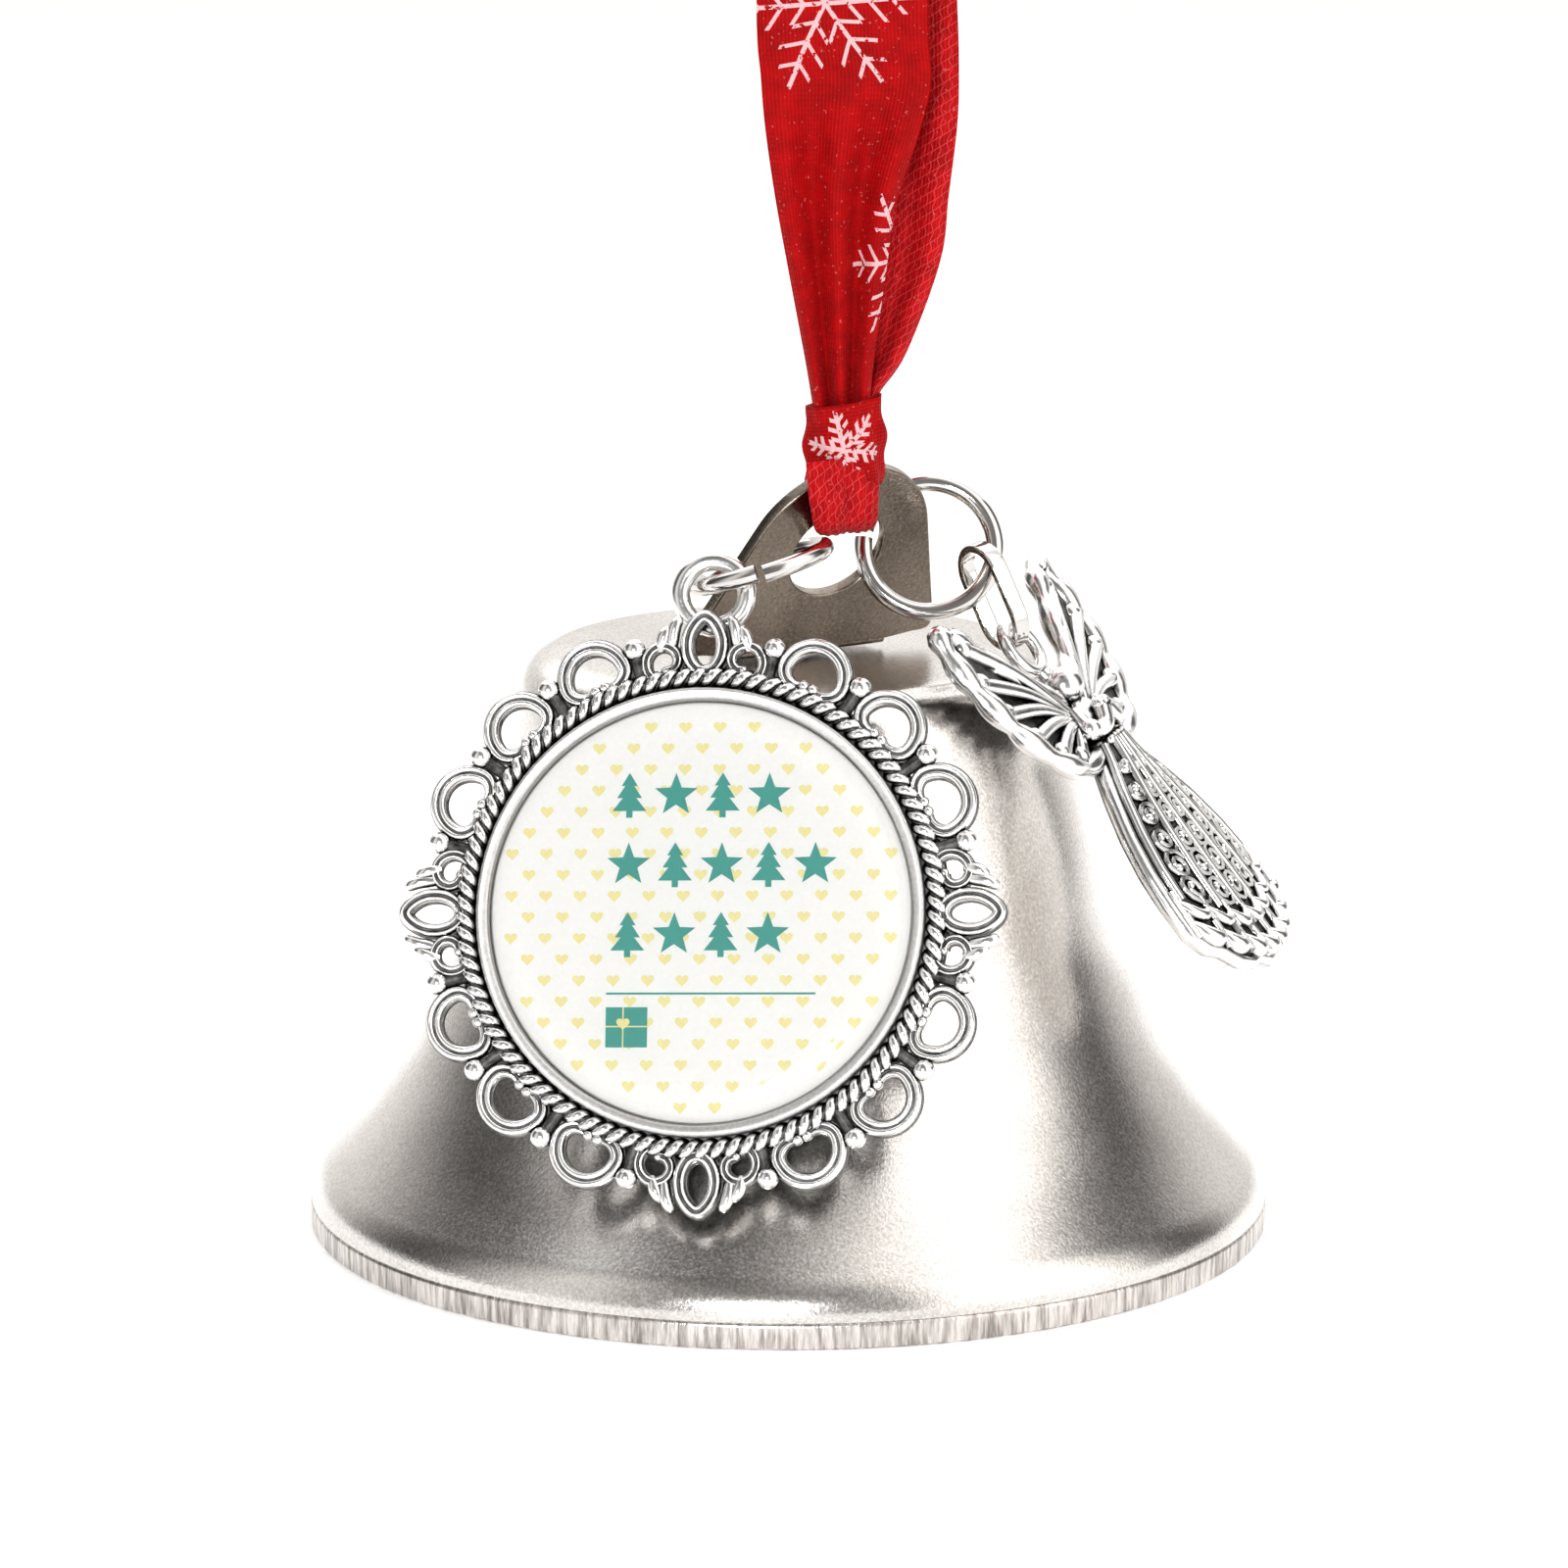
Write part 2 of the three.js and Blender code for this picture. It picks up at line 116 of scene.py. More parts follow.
class Build:
    """Collects faces with material numbers, and turns them into one piece."""

    def __init__(self):
        self.points = []
        self.faces = []
        self.slots = []
        self.uvs = []
        self.count = 0

    def add(self, points, faces, slot=0, uv=None):
        points = np.asarray(points, float)
        self.points.append(points)
        self.uvs.append(np.zeros((len(points), 2)) if uv is None else np.asarray(uv, float))
        self.faces += [tuple(i + self.count for i in face) for face in faces]
        self.slots += [slot] * len(faces)
        self.count += len(points)

    def finish(self, name, materials, body, stands_for=(), smooth=True):
        points = (np.concatenate(self.points) + ORIGIN) * MM
        mesh = bpy.data.meshes.new(name)
        mesh.from_pydata(points.tolist(), [], self.faces)
        for material in materials:
            mesh.materials.append(material)
        mesh.polygons.foreach_set("material_index", self.slots)
        mesh.polygons.foreach_set("use_smooth", [smooth] * len(self.faces))
        layer = mesh.uv_layers.new(name="UVMap")
        corner = np.zeros(len(mesh.loops), int)
        mesh.loops.foreach_get("vertex_index", corner)
        layer.data.foreach_set("uv", np.concatenate(self.uvs)[corner].ravel())
        mesh.update()
        piece = bpy.data.objects.new(name, mesh)
        bpy.context.scene.collection.objects.link(piece)
        if body:
            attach(piece, body)
        if stands_for:
            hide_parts(*stands_for)
        return piece


def grid_border(rows, columns):
    """The numbers of a grid's edge points, once round."""
    top = range(columns - 2, 0, -1)
    right = [i * columns + columns - 1 for i in range(rows - 2, -1, -1)]
    bottom = [(rows - 1) * columns + j for j in range(1, columns)]
    return [i * columns for i in range(rows)] + bottom + right + list(top)


def grid_faces(rows, columns, wrap_rows=False, wrap_columns=False):
    faces = []
    for i in range(rows if wrap_rows else rows - 1):
        for j in range(columns if wrap_columns else columns - 1):
            a = i * columns + j
            b = i * columns + (j + 1) % columns
            c = ((i + 1) % rows) * columns + (j + 1) % columns
            d = ((i + 1) % rows) * columns + j
            faces.append((a, b, c, d))
    return faces


def spin(build, profile, place, segments=160, slot=0):
    """Spins a closed outline of (radius, height) pairs round a place's Z axis."""
    angles = np.arange(segments) / segments * TAU
    points = [(r * math.cos(a), r * math.sin(a), z) for a in angles for r, z in profile]
    build.add(place.place(points), grid_faces(segments, len(profile), True, True), slot)


def round_section(radius, sides=10):
    angles = np.arange(sides) / sides * TAU
    return np.stack([np.cos(angles), np.sin(angles)], 1) * radius


def ring_path(radius, count):
    """A closed round path in the XY plane."""
    return np.column_stack([round_section(radius, count), np.zeros(count)])


# A direction that no path without an upright starts along.
OFF_AXIS = (0.31, 0.17, 0.94)


def path_frames(path, closed, up=None):
    """For each point of a path: its direction, and two directions across it."""
    path = np.asarray(path, float)
    if closed:
        along = np.roll(path, -1, 0) - np.roll(path, 1, 0)
    else:
        along = np.gradient(path, axis=0)
    along /= np.linalg.norm(along, axis=1)[:, None]
    if up is not None:
        side = np.cross(np.asarray(up, float), along)
        side /= np.linalg.norm(side, axis=1)[:, None]
        return side, np.cross(along, side)
    start = np.cross(along[0], OFF_AXIS)
    side = [unit(start)]
    for i in range(1, len(path)):
        moved = side[-1] - along[i] * (side[-1] @ along[i])
        side.append(unit(moved))
    side = np.array(side)
    return side, np.cross(along, side)


def sweep(build, path, section, place, closed=False, up=None, scale=None, slot=0):
    """Carries a section along a path. scale gives the section's size at each point of the path.
    The UVs are millimetres round the section and along the path."""
    path = np.asarray(path, float)
    side, top = path_frames(path, closed, up)
    size = np.ones(len(path)) if scale is None else np.asarray(scale, float)
    points = (path[:, None, :]
              + side[:, None, :] * (section[None, :, :1] * size[:, None, None])
              + top[:, None, :] * (section[None, :, 1:] * size[:, None, None])).reshape(-1, 3)
    rows, columns = len(path), len(section)
    faces = grid_faces(rows, columns, closed, True)
    if not closed:
        faces.append(tuple(range(columns))[::-1])
        faces.append(tuple((rows - 1) * columns + j for j in range(columns)))
    walked = np.concatenate([[0], np.cumsum(np.linalg.norm(np.diff(path, axis=0), axis=1))])
    around = np.concatenate([[0], np.cumsum(np.linalg.norm(np.diff(section, axis=0), axis=1))])
    uv = [(u, v) for v in walked for u in around]
    build.add(place.place(points), faces, slot, uv)


def wire(build, path, radius, sides, place, **options):
    """Carries a round section along a path that lies about flat in its place."""
    sweep(build, path, round_section(radius, sides), place, up=UP, **options)


def ball(build, centre, radius, place, sides=16, rings=10, stretch=(1, 1, 1), slot=0):
    points = [(0, 0, 1)]
    for i in range(1, rings):
        a = math.pi * i / rings
        points += [(math.sin(a) * math.cos(b), math.sin(a) * math.sin(b), math.cos(a))
                   for b in np.arange(sides) / sides * TAU]
    points.append((0, 0, -1))
    faces = []
    for j in range(sides):
        k = (j + 1) % sides
        faces.append((0, 1 + j, 1 + k))
        for i in range(rings - 2):
            a = 1 + i * sides
            faces.append((a + j, a + sides + j, a + sides + k, a + k))
        last = 1 + (rings - 2) * sides
        faces.append((last + j, len(points) - 1, last + k))
    points = np.array(points) * radius * np.array(stretch) + np.asarray(centre, float)
    build.add(place.place(points), faces, slot)


def plate(build, outline, holes, thickness, edge, place, slot=0):
    """A flat plate with rounded edges. Its outline and holes are in the place's XY plane."""
    curve = bpy.data.curves.new("plate", "CURVE")
    curve.dimensions = "2D"
    curve.fill_mode = "BOTH"
    curve.extrude = thickness / 2 - edge
    curve.bevel_depth = edge
    curve.bevel_resolution = 2
    curve.offset = -edge
    for loop in [outline, *holes]:
        spline = curve.splines.new("POLY")
        spline.points.add(len(loop) - 1)
        for point, (x, y) in zip(spline.points, loop):
            point.co = (x, y, 0, 1)
        spline.use_cyclic_u = True
    holder = bpy.data.objects.new("plate", curve)
    bpy.context.scene.collection.objects.link(holder)
    bpy.context.view_layer.update()
    mesh = bpy.data.meshes.new_from_object(holder.evaluated_get(bpy.context.evaluated_depsgraph_get()))
    points = np.array([v.co for v in mesh.vertices])
    faces = [tuple(p.vertices) for p in mesh.polygons]
    build.add(place.place(points), faces, slot)
    bpy.data.objects.remove(holder)
    bpy.data.meshes.remove(mesh)


def circle(x, y, radius, count=48, start=0.0, end=TAU):
    closed = abs(end - start) > TAU - 1e-6
    angles = start + (end - start) * np.arange(count) / (count if closed else count - 1)
    return [(x + radius * math.cos(a), y + radius * math.sin(a)) for a in angles]


def split_edges(piece, degrees):
    """Keeps a piece's sharp edges sharp and the rest smooth."""
    piece.data.set_sharp_from_angle(angle=math.radians(degrees))


# ---------- materials ----------

class Nodes:
    """A few shorthands for a node tree."""

    def __init__(self, tree):
        self.tree = tree

    def link(self, source, target):
        self.tree.links.new(source, target)

    def noise(self, vector, scale, detail=3.0, roughness=0.5):
        node = self.tree.nodes.new("ShaderNodeTexNoise")
        node.inputs["Scale"].default_value = scale
        node.inputs["Detail"].default_value = detail
        node.inputs["Roughness"].default_value = roughness
        self.link(vector, node.inputs["Vector"])
        return node.outputs["Fac"]

    def ramp(self, source, stops):
        node = self.tree.nodes.new("ShaderNodeValToRGB")
        node.color_ramp.elements[0].position = stops[0][0]
        node.color_ramp.elements[0].color = stops[0][1]
        node.color_ramp.elements[1].position = stops[-1][0]
        node.color_ramp.elements[1].color = stops[-1][1]
        for position, colour in stops[1:-1]:
            node.color_ramp.elements.new(position).color = colour
        self.link(source, node.inputs["Fac"])
        return node.outputs["Color"]

    def grey(self, source, low, high):
        return self.ramp(source, [(0.0, (low, low, low, 1)), (1.0, (high, high, high, 1))])

    def math(self, operation, a, b=0.0, c=0.0):
        node = self.tree.nodes.new("ShaderNodeMath")
        node.operation = operation
        for socket, value in zip(node.inputs, (a, b, c)):
            if isinstance(value, (int, float)):
                socket.default_value = value
            else:
                self.link(value, socket)
        return node.outputs[0]

    def mix(self, factor, a, b):
        node = self.tree.nodes.new("ShaderNodeMix")
        node.data_type = "RGBA"
        self.link(factor, node.inputs["Factor"])
        for socket, value in ((node.inputs["A"], a), (node.inputs["B"], b)):
            if isinstance(value, tuple):
                socket.default_value = value
            else:
                self.link(value, socket)
        return node.outputs["Result"]

    def bump(self, height, strength, distance, under=None):
        node = self.tree.nodes.new("ShaderNodeBump")
        node.inputs["Strength"].default_value = strength
        node.inputs["Distance"].default_value = distance
        self.link(height, node.inputs["Height"])
        if under is not None:
            self.link(under, node.inputs["Normal"])
        return node.outputs["Normal"]


class Surface(Nodes):
    """A new material, with its shader and its object coordinates."""

    def __init__(self, name):
        self.material = bpy.data.materials.new(name)
        self.material.use_nodes = True
        super().__init__(self.material.node_tree)
        self.shader = self.tree.nodes["Principled BSDF"]
        self.space = self.tree.nodes.new("ShaderNodeTexCoord").outputs["Object"]

    def set(self, **values):
        for name, value in values.items():
            self.shader.inputs[name.replace("_", " ")].default_value = value

    def feed(self, name, source):
        self.link(source, self.shader.inputs[name])

    def scaled(self, scale):
        node = self.tree.nodes.new("ShaderNodeMapping")
        node.inputs["Scale"].default_value = scale
        self.link(self.space, node.inputs["Vector"])
        return node.outputs["Vector"]


def plated_sheet(name, dark, light, polish):
    """Nickel plate over a fine blasted grain, with faint upright streaks."""
    n = Surface(name)
    n.set(Metallic=1.0)
    grain = n.noise(n.space, 5200.0, 2.0, 0.7)
    cloud = n.noise(n.space, 120.0, 3.0)
    tone = n.math("MULTIPLY_ADD", cloud, 0.35, n.math("MULTIPLY", grain, 0.65))
    n.feed("Base Color", n.ramp(tone, [(0.38, dark), (0.62, light)]))
    streak = n.noise(n.scaled((900.0, 900.0, 60.0)), 1.0, 3.0, 0.6)
    rough = n.math("MULTIPLY_ADD", grain, 0.14, polish)
    n.feed("Roughness", n.math("MULTIPLY_ADD", streak, 0.06, rough))
    fine = n.bump(grain, 0.30, 0.00004)
    n.feed("Normal", n.bump(streak, 0.08, 0.00004, fine))
    return n.material


def trimmed_edge():
    """The bell's cut edge: upright trimming marks across it."""
    n = Surface("trimmed_edge")
    n.set(Metallic=1.0)
    marks = n.noise(n.scaled((2600.0, 2600.0, 260.0)), 1.0, 3.0, 0.7)
    n.feed("Base Color", n.ramp(marks, [(0.36, (0.30, 0.27, 0.25, 1)), (0.60, (0.80, 0.76, 0.73, 1))]))
    n.feed("Roughness", n.grey(marks, 0.38, 0.20))
    n.feed("Normal", n.bump(marks, 0.6, 0.00008))
    return n.material


def bright_nickel():
    """Bright plated wire with faint drawing marks."""
    n = Surface("bright_nickel")
    n.set(Metallic=1.0, Base_Color=(0.68, 0.66, 0.64, 1))
    marks = n.noise(n.space, 1500.0, 2.0)
    n.feed("Roughness", n.math("MULTIPLY_ADD", marks, 0.12, 0.03))
    n.feed("Normal", n.bump(marks, 0.08, 0.00003))
    return n.material


def antique_silver():
    """Cast, plated and buffed: bright on the high places, darker where the relief is tight, partly as the
    casting's blackened patina and partly as painted shade from occlusion.
    """
    n = Surface("antique_silver")
    n.set(Metallic=1.0)
    wear = n.noise(n.space, 900.0, 4.0, 0.6)
    occlusion_shade = n.tree.nodes.new("ShaderNodeAmbientOcclusion")
    occlusion_shade.samples = 6
    occlusion_shade.only_local = True
    occlusion_shade.inputs["Distance"].default_value = 0.0008
    # Painted shade: the occlusion output darkens the colour in tight relief and along lines where wires
    # touch.
    tone = n.math("MULTIPLY_ADD", wear, 0.35, occlusion_shade.outputs["AO"])
    n.feed("Base Color", n.ramp(tone, [(0.55, (0.02, 0.02, 0.02, 1)), (0.74, (0.40, 0.395, 0.39, 1)),
                                       (0.92, (0.88, 0.875, 0.87, 1))]))
    n.feed("Roughness", n.math("MULTIPLY_ADD", wear, 0.22, 0.08))
    n.feed("Normal", n.bump(wear, 0.35, 0.00008))
    return n.material


def antique_recess():
    """The blackened hollows of the castings."""
    n = Surface("antique_recess")
    n.set(Metallic=0.8)
    dirt = n.noise(n.space, 1400.0, 4.0, 0.6)
    n.feed("Base Color", n.ramp(dirt, [(0.35, (0.02, 0.02, 0.021, 1)), (0.7, (0.16, 0.155, 0.15, 1))]))
    n.feed("Roughness", n.grey(dirt, 0.35, 0.6))
    n.feed("Normal", n.bump(dirt, 0.5, 0.00008))
    return n.material


def printed_colour(name, colour):
    """Ink or coated card, with the print's faint unevenness."""
    n = Surface(name)
    n.set(Roughness=0.45)
    tooth = n.noise(n.space, 5000.0, 2.0)
    darker = tuple(0.93 * c for c in colour[:3]) + (1,)
    n.feed("Base Color", n.ramp(tooth, [(0.2, darker), (0.8, colour)]))
    n.feed("Normal", n.bump(tooth, 0.05, 0.00002))
    return n.material


def clear_resin():
    """A clear layer that only shows its gloss."""
    n = Surface("clear_resin")
    wave = n.noise(n.space, 60.0, 1.0)
    clear = n.tree.nodes.new("ShaderNodeBsdfTransparent")
    gloss = n.tree.nodes.new("ShaderNodeBsdfGlossy")
    gloss.inputs["Roughness"].default_value = 0.06
    n.link(n.bump(wave, 0.05, 0.0005), gloss.inputs["Normal"])
    fresnel = n.tree.nodes.new("ShaderNodeFresnel")
    fresnel.inputs["IOR"].default_value = 1.35
    blend = n.tree.nodes.new("ShaderNodeMixShader")
    n.link(fresnel.outputs[0], blend.inputs[0])
    n.link(clear.outputs[0], blend.inputs[1])
    n.link(gloss.outputs[0], blend.inputs[2])
    n.link(blend.outputs[0], n.tree.nodes["Material Output"].inputs["Surface"])
    n.tree.nodes.remove(n.shader)
    return n.material


# Snowflakes printed on the ribbon: place across and along it in mm, size, and turn in degrees.
# The last one is the hitch's, which has its own stretch of ribbon.
HITCH_ALONG = 200.0
FLAKES = ((-1.0, 26.3, 5.6, -4), (6.3, 11.0, 4.8, -4), (3.4, 43.0, 3.2, 12), (-3.0, 55.0, 4.6, 25),
          (2.4, 69.0, 5.2, 15), (-2.2, 82.0, 3.4, 0), (2.0, 96.0, 4.8, 33), (-2.0, 111.0, 3.2, 18),
          (2.6, 124.0, 5.2, 8), (-2.4, 139.0, 4.4, 28), (1.6, 155.0, 3.4, 10),
          (0.0, HITCH_ALONG, 2.5, 15))


def flake_mask(n, across, along, flake):
    """1 on the printed lines of one snowflake, 0 elsewhere."""
    x0, y0, size, turn = flake
    x = n.math("SUBTRACT", across, x0)
    y = n.math("SUBTRACT", along, y0)
    far = n.math("SQRT", n.math("ADD", n.math("MULTIPLY", x, x), n.math("MULTIPLY", y, y)))
    angle = n.math("ADD", n.math("ARCTAN2", y, x), math.radians(turn))
    sixth = n.math("PINGPONG", angle, TAU / 12)
    out = n.math("MULTIPLY", far, n.math("COSINE", sixth))
    off = n.math("MULTIPLY", far, n.math("SINE", sixth))
    arm = n.math("LESS_THAN", off, 0.13)
    mask = n.math("MULTIPLY", arm, n.math("LESS_THAN", out, size))
    for start, length in ((0.22, 0.20), (0.45, 0.24), (0.70, 0.17)):
        from_start = n.math("SUBTRACT", out, start * size)
        skew = n.math("SUBTRACT", n.math("MULTIPLY", from_start, 0.80), n.math("MULTIPLY", off, 0.60))
        line = n.math("LESS_THAN", n.math("ABSOLUTE", skew), 0.11)
        line = n.math("MULTIPLY", line, n.math("LESS_THAN", off, length * size))
        mask = n.math("MAXIMUM", mask, line)
    return mask


def printed_flakes(n, across, along):
    """1 where any snowflake is printed, with the ink worn off in small spots."""
    printed = 0.0
    for flake in FLAKES:
        printed = n.math("MAXIMUM", printed, flake_mask(n, across, along, flake))
    worn = n.math("GREATER_THAN", n.noise(n.space, 2600.0, 2.0), 0.38)
    return n.math("MULTIPLY", printed, worn)


def satin_ribbon(name, weave_scale, light, dark, lattice):
    """Red satin with fine ribs and painted glints of light on its threads: a woven lattice, or printed
    snowflakes.
    """
    n = Surface(name)
    n.set(Roughness=0.55, Sheen_Weight=0.02, Sheen_Roughness=0.4, Specular_IOR_Level=0.07)
    place = n.tree.nodes.new("ShaderNodeUVMap")
    split = n.tree.nodes.new("ShaderNodeSeparateXYZ")
    n.link(place.outputs["UV"], split.inputs["Vector"])
    across, along = split.outputs["X"], split.outputs["Y"]
    threads = n.math("SINE", n.math("MULTIPLY", across, TAU / 0.22))
    uneven = n.noise(n.space, 900.0, 3.0)
    tone = n.math("MULTIPLY_ADD", threads, 0.16, uneven)
    cloth = n.ramp(tone, [(0.25, dark), (0.75, light)])
    if lattice:
        wander = n.math("SINE", n.math("MULTIPLY", along, 6.5))
        shifted = n.math("ADD", across, n.math("MULTIPLY", wander, 0.09))
        cell_a = n.math("ABSOLUTE", n.math("SINE", n.math("MULTIPLY", shifted, math.pi / 0.5)))
        row = n.math("MULTIPLY_ADD", across, 0.6, along)
        cell_b = n.math("ABSOLUTE", n.math("SINE", n.math("MULTIPLY", row, math.pi / 0.62)))
        lines = n.math("LESS_THAN", n.math("MINIMUM", cell_a, cell_b), 0.16)
        cloth = n.mix(n.math("MULTIPLY", lines, 0.55), cloth, (0.66, 0.07, 0.08, 1))
    # Painted highlight: small lighter specks mixed into the colour stand in for light glancing off the
    # satin's threads.
    speck = n.noise(n.space, 4200.0, 1.0)
    painted_glint = n.math("GREATER_THAN", speck, 0.72)
    cloth = n.mix(n.math("MULTIPLY", painted_glint, 0.3), cloth, (0.80, 0.20, 0.20, 1))
    if not lattice:
        cloth = n.mix(printed_flakes(n, across, along), cloth, (0.70, 0.42, 0.44, 1))
    n.feed("Base Color", cloth)
    ribs = n.math("ADD", threads, n.math("SINE", n.math("MULTIPLY", along, TAU / weave_scale)))
    n.feed("Normal", n.bump(ribs, 0.35, 0.00006))
    return n.material


def floor_white():
    n = Surface("floor_white")
    n.set(Roughness=0.6, Emission_Color=(1, 1, 1, 1), Emission_Strength=0.32)
    tone = n.noise(n.space, 4.0, 2.0)
    n.feed("Base Color", n.grey(tone, 0.90, 0.93))
    return n.material


NICKEL = plated_sheet("satin_nickel", (0.59, 0.56, 0.53, 1), (0.86, 0.835, 0.81, 1), 0.12)
# The hanger is nickel plate like the bell; its dark brown colour is painted reflection and shade, standing in
# for the brown surroundings it mirrors.
HANGER_PAINTED_REFLECTION = plated_sheet("hanger_painted_reflection", (0.17, 0.14, 0.115, 1), (0.29, 0.25, 0.21, 1), 0.14)
BEZEL_SILVER = plated_sheet("bezel_silver", (0.56, 0.55, 0.54, 1), (0.70, 0.69, 0.68, 1), 0.34)
TRIMMED_EDGE = trimmed_edge()
BRIGHT = bright_nickel()
SILVER = antique_silver()
RECESS = antique_recess()
CARD = printed_colour("card_white", (0.94, 0.94, 0.92, 1))
HEART_YELLOW = printed_colour("ink_yellow", (0.88, 0.80, 0.34, 1))
TEAL = printed_colour("ink_teal", (0.014, 0.31, 0.26, 1))
RESIN = clear_resin()
RIBBON_FRONT = satin_ribbon("ribbon_front", 0.30, (0.42, 0.0008, 0.002, 1), (0.24, 0.0005, 0.001, 1), False)
RIBBON_BACK = satin_ribbon("ribbon_back", 0.40, (0.50, 0.004, 0.006, 1), (0.26, 0.001, 0.002, 1), True)


# ---------- bell ----------

def build_bell():
    """A spun shell that ends in a rounded bead, with a short trimmed band under it."""
    outside = smooth_curve([
        (2.1, 35.8), (8.0, 35.8), (13.6, 35.7), (14.8, 35.45), (15.7, 34.8), (16.3, 33.7), (16.6, 32.2),
        (16.9, 30.0), (17.8, 27.0), (19.0, 23.0), (20.3, 18.0), (21.9, 14.2), (23.2, 11.3), (24.4, 9.2),
        (25.6, 7.4), (26.8, 5.9), (28.0, 4.55), (28.75, 3.7), (29.2, 2.95), (29.42, 2.2), (LIP_RADIUS, 1.6),
    ], 6)
    along = np.gradient(outside, axis=0)
    along /= np.linalg.norm(along, axis=1)[:, None]
    inside = outside + np.stack([along[:, 1], -along[:, 0]], 1) * BELL_SHEET
    inside[0, 0] = outside[0, 0]
    build = Build()
    spin(build, np.concatenate([outside, inside[::-1]]), BELL, 240)
    inner = LIP_RADIUS - BELL_SHEET
    band = [(29.36, 1.62), (29.47, 1.52), (29.50, 1.35), (29.48, 0.15), (29.38, 0.03), (inner, 0.03),
            (inner, 1.62)]
    spin(build, band, BELL, 240, 1)
    build.finish("bell_skin", [NICKEL, TRIMMED_EDGE], "bell", ["bell_shell"])


# ---------- hanger ----------

YAW = math.radians(32)
LEAN = math.radians(28)
FORWARD = vec(math.sin(YAW), -math.cos(YAW), 0)
ACROSS = vec(math.cos(YAW), math.sin(YAW), 0)
PLATE_UP = vec(0, 0, math.cos(LEAN)) + FORWARD * math.sin(LEAN)
PLATE_NORMAL = np.cross(ACROSS, PLATE_UP)
EYE_CENTRE = vec(2.744, -6.278, 42.91)
EYE_OUTER = 6.2
EYE_INNER = 3.2
EYE_HEIGHT = 7.26
SHEET = 0.8
EYE = Frame(EYE_CENTRE, ACROSS, PLATE_UP, PLATE_NORMAL)


def build_hanger():
    build = Build()
    foot = -EYE_HEIGHT
    flank = math.radians(21)
    outline = circle(0, 0, EYE_OUTER, 40, flank, math.pi - flank)
    corner = smooth_curve([(-8.7, foot + 1.3), (-8.6, foot + 0.7), (-8.2, foot + 0.42),
                           (-7.4, foot + 0.34)], 4)
    outline += [tuple(p) for p in corner] + [(-5.6, foot + 0.05), (5.6, foot + 0.05)]
    outline += [(-x, y) for x, y in corner[::-1]]
    plate(build, outline, [circle(0, 0, EYE_INNER, 64)], SHEET, 0.12, EYE)
    bend = Frame(EYE_CENTRE - PLATE_UP * EYE_HEIGHT, ACROSS, -FORWARD, UP)
    back = 3.37
    base = [(-5.4, 0.1), (-5.4, 1.5), (-3.9, back + 1.2)]
    base += circle(0, back, 3.6, 18, math.pi * 0.85, math.pi * 0.15)
    base += [(5.4, 1.5), (5.4, 0.1)]
    plate(build, base, [circle(1.0, back, 1.6, 32)], SHEET, 0.1, bend)
    sweep(build, [(-5.5, 0, 0), (5.5, 0, 0)], round_section(0.42, 13), bend)
    piece = build.finish("hanger_eye", [HANGER_PAINTED_REFLECTION], "bell", ["hanger_plate"])
    split_edges(piece, 40)


# ---------- jump rings and links ----------

RING_RADIUS = 3.95
RING_WIRE = 0.56


def build_ring(name, node, body, centre, normal, cut_degrees):
    """A jump ring with its two cut ends a little apart and out of line."""
    place = facing(centre, normal)
    gap = math.radians(3.0)
    start = math.radians(cut_degrees) + gap
    way_round = np.linspace(0, 1, 97)
    angles = start + (TAU - 2 * gap) * way_round
    lift = 0.08 * (2 * way_round - 1)
    path = np.stack([RING_RADIUS * np.cos(angles), RING_RADIUS * np.sin(angles), lift], 1)
    build = Build()
    wire(build, path, RING_WIRE, 16, place)
    piece = build.finish(name, [BRIGHT], body, [node])
    split_edges(piece, 50)


def oval_path(length, width, count=24):
    """The middle line of an oval link: two straight sides and two round ends."""
    end = width / 2
    straight = length / 2 - end
    right = [(straight + x, y, 0) for x, y in circle(0, 0, end, count, -math.pi / 2, math.pi / 2)]
    left = [(-straight + x, y, 0) for x, y in circle(0, 0, end, count, math.pi / 2, 1.5 * math.pi)]
    return np.array(right + left)


def build_oval_link():
    long = unit((0.39, -0.186, -0.901))
    axis = unit((0.797, 0.56, 0.231))
    across = unit(np.cross(axis, long))
    place = Frame((12.3, -5.6, 39.9), long, across, np.cross(long, across))
    half_wide, half_thick, corner = 0.52, 0.24, 0.1
    section = []
    for x, y, start in ((1, 1, 0), (-1, 1, 90), (-1, -1, 180), (1, -1, 270)):
        for a in np.radians(start + np.array((0, 30, 60, 90))):
            section.append((x * (half_thick - corner) + corner * math.cos(a),
                            y * (half_wide - corner) + corner * math.sin(a)))
    build = Build()
    sweep(build, oval_path(6.8 - 2 * half_thick, 4.0 - 2 * half_thick), np.array(section), place,
          closed=True, up=UP)
    piece = build.finish("oval_strip_link", [BRIGHT], "oval_link", ["angel_link"])
    split_edges(piece, 50)


# ---------- picture charm ----------

def charm_frame():
    lean, yaw, roll = (math.radians(a) for a in (20, -8, 2))
    turn = Matrix.Rotation(yaw, 3, "Z") @ Matrix.Rotation(math.pi / 2 - lean, 3, "X")
    turn = turn @ Matrix.Rotation(roll, 3, "Z")
    return Frame((-5.1, -20.9, 24.0), turn.col[0], turn.col[1], turn.col[2])


CHARM = charm_frame()
INSERT_RADIUS = 12.4
ROPE_RADIUS = 13.85


def grooved_section(width, height, groove=0.22):
    """A band's section with two rounded ridges and a groove between them."""
    w, h = width / 2, height / 2
    return np.array([(-w, -h), (-w, h * 0.3), (-w * 0.78, h * 0.9), (-w * 0.5, h), (-w * 0.2, h * 0.8),
                     (0, h - groove), (w * 0.2, h * 0.8), (w * 0.5, h), (w * 0.78, h * 0.9), (w, h * 0.3),
                     (w, -h)])


def polar(radius, degrees):
    a = math.radians(degrees)
    return vec(radius * math.cos(a), radius * math.sin(a), 0)


